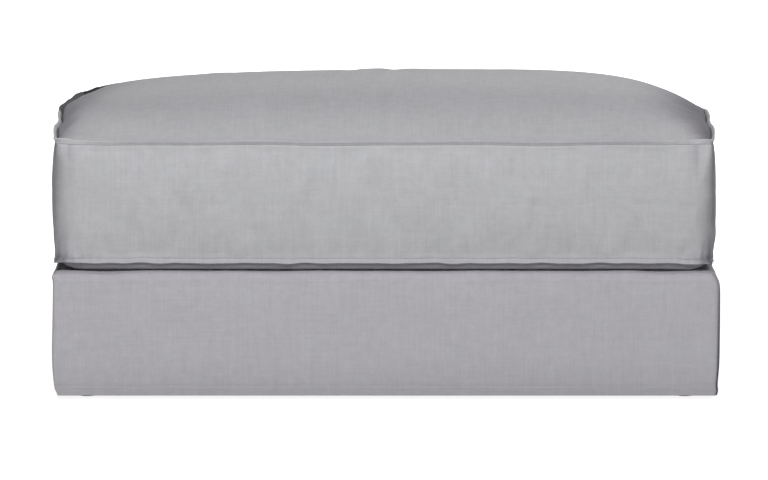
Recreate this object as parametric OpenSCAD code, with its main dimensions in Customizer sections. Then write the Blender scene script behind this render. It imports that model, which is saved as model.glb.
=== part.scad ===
// Slipcovered footstool with one loose boxed cushion.
// The origin is on the floor under the middle of the base: +X to the right, -Y to the front, +Z up.

/* [Base cover] */
// Width of the base over its cloth
base_w = 1016; // [800:1:1300]
// Depth of the base over its cloth
base_d = 660; // [520:1:820]
// Gap between the floor and the hem of the base cover
hem_gap = 8; // [6:0.5:20]
// Height of the doubled hem
hem_h = 12; // [8:0.5:20]
// How far the hem hangs in from the side of the base
hem_draw = 7; // [0:0.5:10]
// Thickness of the cloth
cloth_t = 1.6; // [1.2:0.1:2]
// Radius of the base cover's top edge
edge_r = 14; // [8:0.5:20]
// Radius of the base cover's upright corners
corner_r = 12; // [10:0.5:20]
// Width of the cover's own cloth round the plain deck cloth
border_w = 70; // [40:1:100]

/* [Frame] */
// Height of the frame rails
rail_h = 108; // [95:1:140]
// Thickness of the rails, the brace and its like
rail_t = 22; // [18:0.5:30]
// Diameter of a rail dowel
dowel_d = 8; // [6:0.5:10]
// Length of a rail dowel
dowel_l = 60; // [40:1:70]
// Depth of a dowel in the face of the long rail
dowel_bite = 15; // [10:0.5:17]
// Leg of the triangular corner block
block_leg = 90; // [84:1:110]
// Height of the corner block
block_h = 90; // [60:1:94]
// Height of the middle brace
brace_h = 70; // [50:1:90]
// Thickness of the wadding round the frame
wrap_t = 8; // [4:0.5:15]

/* [Feet] */
// Height of a glide
glide_h = 5; // [3:0.5:8]
// Diameter of a glide
glide_d = 28; // [20:1:40]
// Height of a foot block
foot_h = 45; // [40:1:80]
// Side of a foot block
foot_side = 50; // [36:1:60]
// From the frame's corner to the middle of the foot
foot_inset = 40; // [34:0.5:50]
// Diameter of the foot stud
stud_d = 8; // [6:0.5:10]
// How high the foot stud starts in the foot
stud_start = 17; // [16:0.5:25]

/* [Springs] */
// Distance from the side rail to the middle of the first zigzag spring
spring_end = 126; // [90:1:160]
// Radius of the spring wire
wire_r = 1.9; // [1.5:0.1:2.2]
// Bars in one spring
bar_count = 25; // [19:1:31]
// Half the straight length of a bar
bar_half = 14; // [13:0.5:20]
// How far the middle of a spring stands above its ends
spring_crown = 14; // [5:0.5:20]
// Width of a spring clip
clip_w = 24; // [18:0.5:26]
// Thickness of a spring clip's plate
clip_t = 1.2; // [0.8:0.1:2]
// Radius of a stay wire
stay_r = 2; // [1.5:0.1:2.5]
// Thickness of the felt pad on the springs
felt_t = 3; // [2:0.5:5]
// Height of the deck foam above the rails
seat_rise = 9; // [9:0.5:14]
// Thickness of the deck foam at its rim
foam_t = 31; // [24:0.5:60]

/* [Cushion] */
// How far the cushion's corners stand in from the sides of the base
side_in = 11; // [8:0.5:40]
// How far the cushion's corners stand in from the front and back of the base
front_in = 16; // [12:0.5:40]
// Height of the boxing between the two seams
boxing_h = 175; // [120:1:220]
// Height of the lower seam above the deck
seam_lift = 19; // [14:0.5:30]
// Height of the crown above the upper seam
crown_h = 72; // [30:1:90]
// How far the left seams swell out at mid depth
left_swell = 14; // [0:0.5:20]
// How far the right seams swell out at mid depth
right_swell = 10; // [0:0.5:20]
// How far the front seams swell out at mid width
front_swell = 8; // [0:0.5:15]
// How far the boxing swells out at its corners
corner_swell = 7; // [4:0.5:9]
// How much more the boxing swells out at mid width
mid_swell = 2; // [0:0.5:5]
// Radius of the boxing's corners at mid height
cushion_corner_r = 20; // [14:0.5:30]
// Distance over which the underside turns down to the deck
turn_w = 60; // [40:1:120]
// Width of the seam flange
flange_w = 7; // [4:0.5:10]
// Thickness of the seam flange
flange_t = 2.2; // [1.5:0.1:3]
// Lean of the seam flange from the level
flange_lean = 50; // [35:1:60]
// Thickness of the fibre layers at their rims
fibre_t = 8; // [4:0.5:12]

/* [Zip] */
// Distance from the end of the zip slot to the first tooth
zip_end = 21; // [8:0.5:60]
// Half the height of the slot between the zip strips
slot_half = 6; // [5.5:0.1:8]
// Distance from one zip tooth to the next
tooth_step = 6; // [4:0.5:10]
// Thickness of the zip teeth
tooth_t = 2.2; // [1.8:0.1:2.4]
// Length of the zip pull
pull_l = 28; // [20:1:40]

/* [Hidden] */
$fn = 48;
fit = 0.4;
loose = 0.1;
pad_gap = 0.3;

// Heights, from the floor up
frame_z = glide_h + foot_h;
rail_top = frame_z + rail_h;
foam_z = rail_top + seat_rise;
deck_h = foam_z + foam_t + fit + cloth_t;
low_z = deck_h + seam_lift;
seam_z = low_z + boxing_h;
zip_z = low_z + boxing_h / 2;

// The frame inside the wadding and the cover
frame_w = base_w - 2 * (cloth_t + fit + wrap_t);
frame_d = base_d - 2 * (cloth_t + fit + wrap_t);
inner_x = frame_w / 2 - rail_t;
inner_y = frame_d / 2 - rail_t;
foot_x = frame_w / 2 - foot_inset;
foot_y = frame_d / 2 - foot_inset;
arc_steps = 6;
foam_corner_r = corner_r + 2 * edge_r;

// Wood screws, seated in counterbores
screw_d = 4;
screw_head_d = 8;
screw_head_t = 3;
block_screw_l = 36;
block_screw_seat = 20;
block_screw_side = 60;
block_screw_rise = [25, 65];
brace_screw_l = 55;
brace_screw_sink = 4;
dowel_rise = [27, 81];
washer_d = 18;
washer_t = 1.6;
nut_r = 7.5;
nut_t = 6.5;
stud_spare = 4;
stud_top = frame_z + block_h + washer_t + nut_t + stud_spare;
glide_nail_d = 3;
glide_nail_l = 10;

// The black cloth under the frame and its staples
dust_t = 0.8;
dust_in = 6;
dust_foot_gap = 1;
staple_w = 11;
staple_wire = 0.8;
staple_leg = 8;
long_staples = 8;
side_staples = 4;
staple_in = 15;

// Springs, their clips and stay wires
bar_y = frame_d / 2 - rail_t / 2;
bar_gap = 2 * bar_y / (bar_count - 1);
strap_t = 1.1;
clip_gap = 0.15;
clip_plate_half = 8;
clip_neck_half = 2.9;
nail_d = 2.2;
nail_l = 18;
nail_head_d = 5;
nail_head_t = 0.8;
nail_out = 6;
nail_side = 8;
bar_z = rail_top + clip_t + clip_gap + wire_r;
stay_bar = round((bar_count - 1) / 3);
stay_at = [stay_bar, bar_count - 1 - stay_bar];
stay_spare = 25;
stay_clip_w = 10;
stay_clip_t = 0.6;
stay_clip_gap = 0.15;
spring_count = 6;
spring_step = 2 * (inner_x - spring_end) / (spring_count - 1);
spring_xs = [for (k = [0 : spring_count - 1]) (k - (spring_count - 1) / 2) * spring_step];
wire_sides = 5;

// The felt pad, clear of the clips at its ends and of the stay clips at its crown
felt_in = 4;
felt_w = frame_w - 2 * felt_in;
felt_d = frame_d - 2 * felt_in;
felt_steps = 12;
felt_end_z = bar_z + wire_r + clip_gap + strap_t + pad_gap;
felt_mid_z = bar_z + spring_crown + wire_r + stay_clip_gap + stay_clip_t + pad_gap;

// The cushion
cushion_x = base_w / 2 - side_in;
cushion_y = base_d / 2 - front_in;
wide_cells = 18;
deep_cells = 12;
boxing_rows = 6;
strip_rows = 3;
depth_power = 2;
left_shape = [2.4, 0.4];
right_shape = [6, 1];
corner_power = 0.6;
turned = low_z - deck_h - pad_gap;
fibre_cells_x = 10;
fibre_cells_y = 8;
fibre_gap = 1.7;
core_chamfer = 12;

// The zip: its tapes and teeth lie just inside the two strips
zip_y = cushion_y + corner_swell - cloth_t;
zip_half = cushion_x - 2 * cushion_corner_r - zip_end;
tape_t = 0.8;
tape_gap = 0.5;
tape_half = 14;
chain_half = 3;
chain_split = 0.5;
chain_rib = 1;
tooth_fill = 0.55;
stop_l = 3;
chain_y = zip_y - tape_gap - tape_t / 2;
plate_l = 12;
plate_half = 4.75;
plate_t = 1.1;
plate_gap = 0.2;
lip_in = 3.3;
lip_t = 0.6;
post_l = 2.5;
post_t = 0.6;
plate_y = chain_y + tooth_t / 2 + plate_gap;
slider_x = zip_half - plate_l / 2 - 4;
bail_l = 6.4;
bail_w = 1.6;
bail_leg = 1.2;
bail_room = 1.9;
bail_t = 0.9;
pull_bar_d = 1.4;
pull_y = plate_y + plate_t + bail_room / 2;
pull_t = 1.2;
pull_arm_in = 1.1;
pull_arm_out = 2.5;
pull_window = 5.2;
pull_half = 3.5;

cloth_color = "#c4c2c6";
lining_color = "#d8d6d2";
wood_color = "#c9a878";
steel_color = "#9a9da1";
foam_color = "#f1e9c8";
fibre_color = "#f4f4f2";

// Mirrors a piece of the back right corner to the corner named by its sides
module to_corner(left, front) {
    mirror([left ? 1 : 0, 0, 0]) mirror([0, front ? 1 : 0, 0]) children();
}

module each_corner() {
    for (left = [false, true], front = [false, true]) to_corner(left, front) children();
}

module front_and_back() {
    children();
    mirror([0, 1, 0]) children();
}

module left_and_right() {
    children();
    mirror([1, 0, 0]) children();
}

// A screw driven along +Z from its seat at z = 0; the hole is looser and opens behind the head
module screw(length) {
    cylinder(d = screw_d, h = length);
    translate([0, 0, -screw_head_t]) cylinder(d = screw_head_d, h = screw_head_t);
}

module screw_hole(length, mouth) {
    cylinder(d = screw_d + loose, h = length + loose);
    translate([0, 0, -mouth]) cylinder(d = screw_head_d + 1, h = mouth);
}

// Feet

module glides() {
    color("#e8e6e0") each_corner() translate([foot_x, foot_y, 0]) {
        cylinder(d = glide_d, h = glide_h);
        cylinder(d = glide_nail_d, h = glide_h + glide_nail_l);
    }
}

module foot(left, front) {
    color(wood_color) to_corner(left, front) translate([foot_x, foot_y, glide_h])
        difference() {
            translate([-foot_side / 2, -foot_side / 2, 0]) cube([foot_side, foot_side, foot_h]);
            translate([0, 0, stud_start - glide_h]) cylinder(d = stud_d + loose, h = foot_h);
            translate([0, 0, -1]) cylinder(d = glide_nail_d + loose, h = glide_nail_l + 1.2);
        }
}

module foot_studs() {
    color(steel_color) each_corner() translate([foot_x, foot_y, stud_start + loose])
        cylinder(d = stud_d, h = stud_top - stud_start - loose);
}

module foot_washers() {
    color(steel_color) each_corner() translate([foot_x, foot_y, frame_z + block_h])
        difference() {
            cylinder(d = washer_d, h = washer_t);
            translate([0, 0, -1]) cylinder(d = stud_d + loose, h = washer_t + 2);
        }
}

module foot_nuts() {
    color(steel_color) each_corner() translate([foot_x, foot_y, frame_z + block_h + washer_t])
        difference() {
            cylinder(r = nut_r, h = nut_t, $fn = 6);
            translate([0, 0, -1]) cylinder(d = stud_d + loose, h = nut_t + 2);
        }
}

// Frame

module dowel(spare) {
    translate([frame_w / 2 - rail_t / 2, inner_y + dowel_bite - dowel_l - spare, 0])
        rotate([-90, 0, 0]) cylinder(d = dowel_d + spare, h = dowel_l + 2 * spare);
}

module corner_dowels(spare) {
    for (rise = dowel_rise) translate([0, 0, frame_z + rise]) dowel(spare);
}

module rail_dowels() {
    color("#b8935f") each_corner() corner_dowels(0);
}

// The two screws into the long rail and the two into the side rail, at the back right corner
module block_screw_places() {
    for (rise = block_screw_rise) translate([0, 0, frame_z + rise]) {
        translate([inner_x - block_screw_side, inner_y - block_screw_seat, 0])
            rotate([-90, 0, 0]) children();
        translate([inner_x - block_screw_seat, inner_y - block_screw_side, 0])
            rotate([0, 90, 0]) children();
    }
}

module block_screws() {
    color(steel_color) each_corner() block_screw_places() screw(block_screw_l);
}

module brace_screw_places() {
    for (rise = [brace_h / 4, 3 * brace_h / 4])
        translate([0, frame_d / 2 - brace_screw_sink, frame_z + rise]) rotate([90, 0, 0]) children();
}

module brace_screws() {
    color(steel_color) front_and_back() brace_screw_places() screw(brace_screw_l);
}

module corner_block(left, front) {
    color("#d2b488") to_corner(left, front)
        difference() {
            translate([inner_x, inner_y, frame_z]) linear_extrude(block_h)
                polygon([[0, 0], [-block_leg, 0], [0, -block_leg]]);
            block_screw_places() screw_hole(block_screw_l, block_leg);
            translate([foot_x, foot_y, 0]) cylinder(d = stud_d + loose, h = stud_top);
        }
}

module middle_brace() {
    color(wood_color) difference() {
        translate([-rail_t / 2, -inner_y, frame_z]) cube([rail_t, 2 * inner_y, brace_h]);
        front_and_back() brace_screw_places() screw_hole(brace_screw_l, 1);
    }
}

// Staples under the long rails run along X, those under the side rails along Y, between the feet
function between_feet(foot, count) = [for (i = [0 : count - 1])
    (2 * i / (count - 1) - 1) * (foot - foot_side / 2 - staple_in)];

module staple(spare) {
    wire = staple_wire + 2 * spare;
    translate([-staple_w / 2 - spare, -wire / 2, -dust_t - staple_wire])
        cube([staple_w + 2 * spare, wire, staple_wire]);
    for (side = [-1, 1])
        translate([side * (staple_w - staple_wire) / 2 - wire / 2, -wire / 2, -dust_t - staple_wire])
            cube([wire, wire, dust_t + staple_wire + staple_leg + spare]);
}

module staples(spare) {
    front_and_back() for (x = between_feet(foot_x, long_staples)) translate([x, bar_y, frame_z]) staple(spare);
    left_and_right() for (y = between_feet(foot_y, side_staples))
        translate([frame_w / 2 - rail_t / 2, y, frame_z]) rotate([0, 0, 90]) staple(spare);
}

module dust_cover_staples() {
    color(steel_color) staples(0);
}

module dust_cover() {
    opening = foot_side + 2 * dust_foot_gap;
    color("#2b2b2d") difference() {
        translate([-frame_w / 2 + dust_in, -frame_d / 2 + dust_in, frame_z - dust_t])
            cube([frame_w - 2 * dust_in, frame_d - 2 * dust_in, dust_t]);
        each_corner() translate([foot_x - opening / 2, foot_y - opening / 2, 0])
            cube([opening, opening, frame_z + 1]);
        staples(loose / 2);
    }
}

module clip_nail_places() {
    for (x = spring_xs, side = [-1, 1])
        translate([x + side * nail_side, bar_y + nail_out, rail_top + clip_t]) children();
}

module clip_nail(spare) {
    translate([0, 0, -nail_l]) cylinder(d = nail_d + spare, h = nail_l);
    cylinder(d = nail_head_d, h = nail_head_t);
}

module clip_nails() {
    color(steel_color) front_and_back() clip_nail_places() clip_nail(0);
}

module long_rail() {
    difference() {
        translate([-frame_w / 2, inner_y, frame_z]) cube([frame_w, rail_t, rail_h]);
        left_and_right() {
            corner_dowels(loose);
            block_screw_places() screw_hole(block_screw_l, 1);
        }
        brace_screw_places() screw_hole(brace_screw_l, brace_screw_sink + 1);
        clip_nail_places() translate([0, 0, -nail_l]) cylinder(d = nail_d + loose, h = nail_l);
        staples(loose / 2);
    }
}

module front_rail() {
    color(wood_color) mirror([0, 1, 0]) long_rail();
}

module back_rail() {
    color(wood_color) long_rail();
}

module side_rail() {
    difference() {
        translate([inner_x, -inner_y, frame_z]) cube([rail_t, 2 * inner_y, rail_h]);
        front_and_back() {
            corner_dowels(loose);
            block_screw_places() screw_hole(block_screw_l, 1);
        }
        staples(loose / 2);
    }
}

module left_rail() {
    color(wood_color) mirror([1, 0, 0]) side_rail();
}

module right_rail() {
    color(wood_color) side_rail();
}

// Springs: bars across the spring, joined by half rounds, on a low arch from back to front

function arch_z(y) = bar_z + spring_crown * (1 - pow(y / bar_y, 2));
function bar_at(i) = -bar_y + i * bar_gap;

// One point of the wire with the level direction it runs in
function bend_point(i, turn) =
    let (side = i % 2 == 0 ? 1 : -1,
         y = bar_at(i) + bar_gap / 2 * (1 + sin(turn)),
         x = side * (bar_half + bar_gap / 2 * cos(turn)))
    [[x, y, arch_z(y)], [-side * sin(turn), cos(turn), 0]];

last_way = bar_count % 2 == 0 ? -1 : 1;
wire_path = concat(
    [[[-bar_half, -bar_y, arch_z(bar_y)], [1, 0, 0]]],
    [for (i = [0 : bar_count - 2], turn = [-90, -30, 30, 90]) bend_point(i, turn)],
    [[[last_way * bar_half, bar_y, arch_z(bar_y)], [last_way, 0, 0]]]
);

function wire_ring(p, along) = [for (k = [0 : wire_sides - 1])
    let (turn = 360 * k / wire_sides)
    p + wire_r * (cos(turn) * [0, 0, 1] + sin(turn) * [along.y, -along.x, 0])];

module wire(path) {
    rings = len(path);
    points = [for (p = path) each wire_ring(p[0], p[1])];
    sides = [for (i = [0 : rings - 2], k = [0 : wire_sides - 1])
        let (a = i * wire_sides + k, b = i * wire_sides + (k + 1) % wire_sides)
        each [[a, b, b + wire_sides], [a, b + wire_sides, a + wire_sides]]];
    start = [for (k = [1 : wire_sides - 2]) [0, k + 1, k]];
    last = (rings - 1) * wire_sides;
    end = [for (k = [1 : wire_sides - 2]) [last, last + k, last + k + 1]];
    polyhedron(points, concat(sides, start, end));
}

module spring(number) {
    color(steel_color) translate([spring_xs[number - 1], 0, 0]) wire(wire_path);
}

// A clip's plate on the rail, its neck and the loop round the end bar
module clip_outline() {
    loop_r = wire_r + clip_gap + strap_t;
    difference() {
        union() {
            translate([-clip_plate_half, 0]) square([2 * clip_plate_half + 1, clip_t]);
            translate([-clip_neck_half, 0]) square([2 * clip_neck_half, bar_z - rail_top]);
            translate([0, bar_z - rail_top]) circle(r = loop_r);
        }
        translate([0, bar_z - rail_top]) circle(r = wire_r + clip_gap);
    }
}

module spring_clips() {
    difference() {
        for (x = spring_xs) translate([x - clip_w / 2, bar_y, rail_top])
            rotate([90, 0, 90]) linear_extrude(clip_w) clip_outline();
        clip_nail_places() translate([0, 0, -nail_l]) cylinder(d = nail_d + loose, h = 2 * nail_l);
    }
}

module back_spring_clips() {
    color(steel_color) spring_clips();
}

module front_spring_clips() {
    color(steel_color) mirror([0, 1, 0]) spring_clips();
}

function stay_z(y) = arch_z(y) - wire_r - loose - stay_r;

module stay_wires() {
    length = (spring_count - 1) * spring_step + 2 * stay_spare;
    color(steel_color) for (i = stay_at) translate([-length / 2, bar_at(i), stay_z(bar_at(i))])
        rotate([0, 90, 0]) cylinder(r = stay_r, h = length);
}

module stay_clips() {
    room_half = max(stay_r, wire_r) + stay_clip_gap;
    room_h = 2 * wire_r + loose + 2 * stay_r + 2 * stay_clip_gap;
    color("#84878b") for (i = stay_at, x = spring_xs)
        translate([x, bar_at(i), stay_z(bar_at(i)) - stay_r - stay_clip_gap]) difference() {
            translate([-stay_clip_w / 2, -room_half - stay_clip_t, -stay_clip_t])
                cube([stay_clip_w, 2 * (room_half + stay_clip_t), room_h + 2 * stay_clip_t]);
            translate([-stay_clip_w, -room_half, 0]) cube([2 * stay_clip_w, 2 * room_half, room_h]);
        }
}

// Deck padding

function felt_z(y) = felt_end_z + (felt_mid_z - felt_end_z) * (1 - pow(y / bar_y, 2));
function felt_line(rise) = [for (i = [0 : felt_steps])
    let (y = felt_d * (i / felt_steps - 0.5)) [y, felt_z(y) + rise]];

module along_x(length) {
    rotate([90, 0, 90]) linear_extrude(length, center = true) children();
}

function reversed(list) = [for (i = [len(list) - 1 : -1 : 0]) list[i]];

module felt_pad() {
    color("#8d8f93") along_x(felt_w) polygon(concat(felt_line(0), reversed(felt_line(felt_t))));
}

// The room under the deck foam for the felt pad on the arched springs
module felt_room() {
    line = felt_line(felt_t + pad_gap);
    half = felt_d / 2 + fit;
    along_x(felt_w + 2 * fit) polygon(concat(
        [[-half, rail_top], [-half, line[0].y]], line, [[half, line[0].y], [half, rail_top]]));
}

function quarter(cx, cy, r, start) = [for (i = [0 : arc_steps])
    let (a = start + 90 * i / arc_steps) [cx + r * cos(a), cy + r * sin(a)]];

// Outline of the deck foam seen from one side: it follows the cover's rounded top edge
module foam_outline(half) {
    edge = quarter(half - edge_r, deck_h - edge_r, edge_r - cloth_t - fit, 0);
    right = concat([[half - cloth_t - fit, foam_z]], edge);
    polygon(concat(right, [for (p = reversed(right)) [-p.x, p.y]]));
}

module foam_plan() {
    half_w = base_w / 2 - cloth_t - fit;
    half_d = base_d / 2 - cloth_t - fit;
    r = foam_corner_r;
    polygon(concat(quarter(half_w - r, half_d - r, r, 0), quarter(r - half_w, half_d - r, r, 90),
                   quarter(r - half_w, r - half_d, r, 180), quarter(half_w - r, r - half_d, r, 270)));
}

module deck_foam() {
    color(foam_color) difference() {
        intersection() {
            linear_extrude(deck_h) foam_plan();
            along_x(base_w) foam_outline(base_d / 2);
            rotate([90, 0, 0]) linear_extrude(base_d, center = true) foam_outline(base_w / 2);
        }
        felt_room();
    }
}

module deck_cloth() {
    half_w = base_w / 2 - border_w;
    half_d = base_d / 2 - border_w;
    color(lining_color) translate([-half_w, -half_d, deck_h - cloth_t])
        cube([2 * half_w, 2 * half_d, cloth_t]);
}

// A closed layer from two grids of (nu + 1) by (nv + 1) points, the outer one first.
// Seen from outside, u runs to the right and v runs up.
module layer(outer, inner, nu, nv) {
    count = (nu + 1) * (nv + 1);
    function id(i, j) = i * (nv + 1) + j;
    faces = [for (i = [0 : nu - 1], j = [0 : nv - 1])
        let (a = id(i, j), b = id(i + 1, j), c = id(i + 1, j + 1), d = id(i, j + 1))
        each [[a, d, c], [a, c, b],
              [a + count, c + count, d + count], [a + count, b + count, c + count]]];
    function rim(p, q) = [[p, q, q + count], [p, q + count, p + count]];
    low = [for (i = [0 : nu - 1]) each rim(id(i, 0), id(i + 1, 0))];
    high = [for (i = [0 : nu - 1]) each rim(id(i + 1, nv), id(i, nv))];
    start = [for (j = [0 : nv - 1]) each rim(id(0, j + 1), id(0, j))];
    end = [for (j = [0 : nv - 1]) each rim(id(nu, j), id(nu, j + 1))];
    polyhedron(concat(outer, inner), concat(faces, low, high, start, end));
}

// Base cover. Its levels run from the hem up the side, over the rounded top edge and in to the
// deck cloth: [how far in from the side of the base, height]. The hem is two cloths thick.
hem_top = hem_gap + hem_h;
hem_step = 1;
edge_cells = 4;
function draw_in(z) = hem_draw * (frame_z - z) / (frame_z - hem_gap);
function edge_levels(r) = [for (k = [0 : edge_cells])
    let (a = 90 * k / edge_cells) [edge_r - r * cos(a), deck_h - edge_r + r * sin(a)]];
function cover_levels(depth) = concat(
    [for (z = [hem_gap, hem_top]) [draw_in(z) + 2 * depth, z]],
    [[draw_in(hem_top + hem_step) + depth, hem_top + hem_step], [depth, frame_z]],
    edge_levels(edge_r - depth),
    [[border_w, deck_h - depth]]);

// A panel's corner points run from the mitre to the flat, where turn is 90 degrees
corner_turns = [45, 67.5, 90];
function cover_point(level, turn, half, out) =
    let (r = max(0, corner_r - level.x))
    [half - level.x - r * (1 - cos(turn)), -(out - level.x - r * (1 - sin(turn))), level.y];
function cover_grid(depth, half, out) = [
    for (side = [-1, 1], turn = side < 0 ? corner_turns : reversed(corner_turns),
         level = cover_levels(depth))
        let (p = cover_point(level, turn, half, out)) [side * p.x, p.y, p.z]];

// The panel that faces -Y of a cover that is half as wide as half and reaches out to the front
module cover_panel(half, out) {
    layer(cover_grid(0, half, out), cover_grid(cloth_t, half, out),
          2 * len(corner_turns) - 1, len(cover_levels(0)) - 1);
}

module cover_front() {
    color(cloth_color) cover_panel(base_w / 2, base_d / 2);
}

module cover_back() {
    color(cloth_color) mirror([0, 1, 0]) cover_panel(base_w / 2, base_d / 2);
}

module cover_right() {
    color(cloth_color) rotate([0, 0, 90]) cover_panel(base_d / 2, base_w / 2);
}

module cover_left() {
    color(cloth_color) mirror([1, 0, 0]) rotate([0, 0, 90]) cover_panel(base_d / 2, base_w / 2);
}

module long_wadding() {
    half = base_w / 2 - corner_r;
    translate([-half, frame_d / 2, frame_z]) cube([2 * half, wrap_t, foam_z - pad_gap - frame_z]);
}

module side_wadding() {
    half = base_d / 2 - corner_r;
    translate([frame_w / 2, -half, frame_z]) cube([wrap_t, 2 * half, foam_z - pad_gap - frame_z]);
}

module front_wadding() {
    color(fibre_color) mirror([0, 1, 0]) long_wadding();
}

module back_wadding() {
    color(fibre_color) long_wadding();
}

module right_wadding() {
    color(fibre_color) side_wadding();
}

module left_wadding() {
    color(fibre_color) mirror([1, 0, 0]) side_wadding();
}

// Cushion. Its surfaces are grids of points: u runs round or across, v runs up or back.
// Each surface has an outer face and an inner face one cloth inside it, joined round the rim.

function swell(w) = 4 * w * (1 - w);
function soft(t) = 1 - pow(abs(t), 4);

// Grid places along a side: close together at the corners, even between them
function marks(half, cells) = let (c = cushion_corner_r, flat = half - 2 * c) concat(
    [-half, c / 2 - half, c - half],
    [for (i = [0 : cells]) -flat + 2 * flat * i / cells],
    [half - c, half - c / 2, half]);

x_marks = marks(cushion_x, wide_cells);
y_marks = marks(cushion_y, deep_cells);
last_x = len(x_marks) - 1;
last_y = len(y_marks) - 1;

// Place along a side, and how far the corner's arc takes it in, at a mark m of a side
// whose corner has moved out by e and has the radius r
function arc_turn(m, half, r) = 45 + 45 * (half - abs(m)) / r;
function along(m, half, e, r) =
    let (a = half - abs(m), reach = 2 * cushion_corner_r)
    sign(m) * (a >= reach ? abs(m)
        : a < r ? half + e - r + r * cos(arc_turn(m, half, r))
        : half + e - r - (a - r) * (e - r + reach) / (reach - r));

// A point of the ring at height w: [along the side, out from the middle]
function side_point(m, half, other, w, inset, plan_swell, more_swell) =
    let (e = corner_swell * swell(w) - inset,
         r = max(0, cushion_corner_r * pow(swell(w), corner_power) - inset),
         puff = (plan_swell + more_swell * swell(w)) * soft(m / half),
         cut = half - abs(m) < r ? r - r * sin(arc_turn(m, half, r)) : 0)
    [along(m, half, e, r), other + e - cut + puff];

function front_point(i, w, inset) =
    let (p = side_point(x_marks[i], cushion_x, cushion_y, w, inset, front_swell, mid_swell))
    [p.x, -p.y];
function back_point(i, w, inset) =
    side_point(x_marks[i], cushion_x, cushion_y, w, inset, 0, 0);
function right_point(j, w, inset) =
    let (p = side_point(y_marks[j], cushion_y, cushion_x, w, inset, right_swell, mid_swell))
    [p.y, p.x];
function left_point(j, w, inset) =
    let (p = side_point(y_marks[j], cushion_y, cushion_x, w, inset, left_swell, mid_swell))
    [-p.y, p.x];

// Corner cells of the boxing that turn on to the back beside the zip strips
wrap_marks = 3;

// The boxing's ring, anticlockwise seen from above, from the back left to the back right
function boxing_ring(w, inset) = concat(
    [for (i = [wrap_marks : -1 : 0]) back_point(i, w, inset)],
    [for (j = [last_y - 1 : -1 : 0]) left_point(j, w, inset)],
    [for (i = [1 : last_x]) front_point(i, w, inset)],
    [for (j = [1 : last_y]) right_point(j, w, inset)],
    [for (i = [last_x - 1 : -1 : last_x - wrap_marks]) back_point(i, w, inset)]);

function whole_ring(w, inset) = concat(
    [for (i = [last_x : -1 : 0]) back_point(i, w, inset)],
    [for (j = [last_y - 1 : -1 : 0]) left_point(j, w, inset)],
    [for (i = [1 : last_x]) front_point(i, w, inset)],
    [for (j = [1 : last_y - 1]) right_point(j, w, inset)]);

// Plan place of a point of the top or underside, for marks m and n
function panel_plan(m, n, inset) =
    let (u = m / cushion_x, v = n / cushion_y)
    [along(m, cushion_x, -inset, 0) + u * (u < 0 ? left_swell : right_swell) * soft(v),
     along(n, cushion_y, -inset, 0) + (v < 0 ? v * front_swell * soft(u) : 0)];

// The crown rises in a round shoulder at the left and slopes up more gently from the right
function top_z(m, n) =
    let (shape = m < 0 ? left_shape : right_shape,
         across = pow(1 - pow(abs(m / cushion_x), shape[0]), shape[1]))
    seam_z + crown_h * across * (1 - pow(abs(n / cushion_y), depth_power));

function turn_down(edge) = edge >= turn_w ? 1 : 1 - pow(1 - edge / turn_w, 2);
function under_z(m, n) = low_z - turned * turn_down(cushion_x - abs(m)) * turn_down(cushion_y - abs(n));

function top_grid(xs, ys, inset) = [for (m = xs, n = ys)
    concat(panel_plan(m, n, inset), [top_z(m, n) - inset])];
function under_grid(xs, ys, inset) = [for (m = xs, n = reversed(ys))
    concat(panel_plan(m, n, inset), [under_z(m, n) + inset])];

module cushion_top() {
    color(cloth_color) layer(top_grid(x_marks, y_marks, 0), top_grid(x_marks, y_marks, cloth_t),
                             last_x, last_y);
}

module cushion_bottom() {
    color(cloth_color) layer(under_grid(x_marks, y_marks, 0), under_grid(x_marks, y_marks, cloth_t),
                             last_x, last_y);
}

function boxing_grid(inset) =
    let (rings = [for (j = [0 : boxing_rows]) boxing_ring(j / boxing_rows, inset)])
    [for (i = [0 : len(rings[0]) - 1], j = [0 : boxing_rows])
        concat(rings[j][i], [low_z + inset + (boxing_h - 2 * inset) * j / boxing_rows])];

module cushion_boxing() {
    color(cloth_color) layer(boxing_grid(0), boxing_grid(cloth_t),
                             len(boxing_ring(0, 0)) - 1, boxing_rows);
}

// A strip beside the zip, between the heights z0 and z1; its folded edge is square
function strip_grid(z0, z1, inset, low_inset, high_inset) =
    [for (i = [last_x - wrap_marks : -1 : wrap_marks], j = [0 : strip_rows])
        let (z = z0 + (z1 - z0) * j / strip_rows)
        concat(back_point(i, (z - low_z) / boxing_h, inset),
               [z + low_inset * (1 - j / strip_rows) - high_inset * j / strip_rows])];

module zip_strip_upper() {
    z0 = zip_z + slot_half;
    color(cloth_color) layer(strip_grid(z0, seam_z, 0, 0, 0),
                             strip_grid(z0, seam_z, cloth_t, 0, cloth_t), wide_cells, strip_rows);
}

module zip_strip_lower() {
    z1 = zip_z - slot_half;
    color(cloth_color) layer(strip_grid(low_z, z1, 0, 0, 0),
                             strip_grid(low_z, z1, cloth_t, cloth_t, 0), wide_cells, strip_rows);
}

// A seam's flange: a flat band that leaves the seam and leans out and up, or out and down
flange_root = 1.2;
flange_outline = [[0, 0], [flange_root, flange_t / 2], [flange_w, flange_t / 2],
                  [flange_w, -flange_t / 2], [flange_root, -flange_t / 2]];

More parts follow.
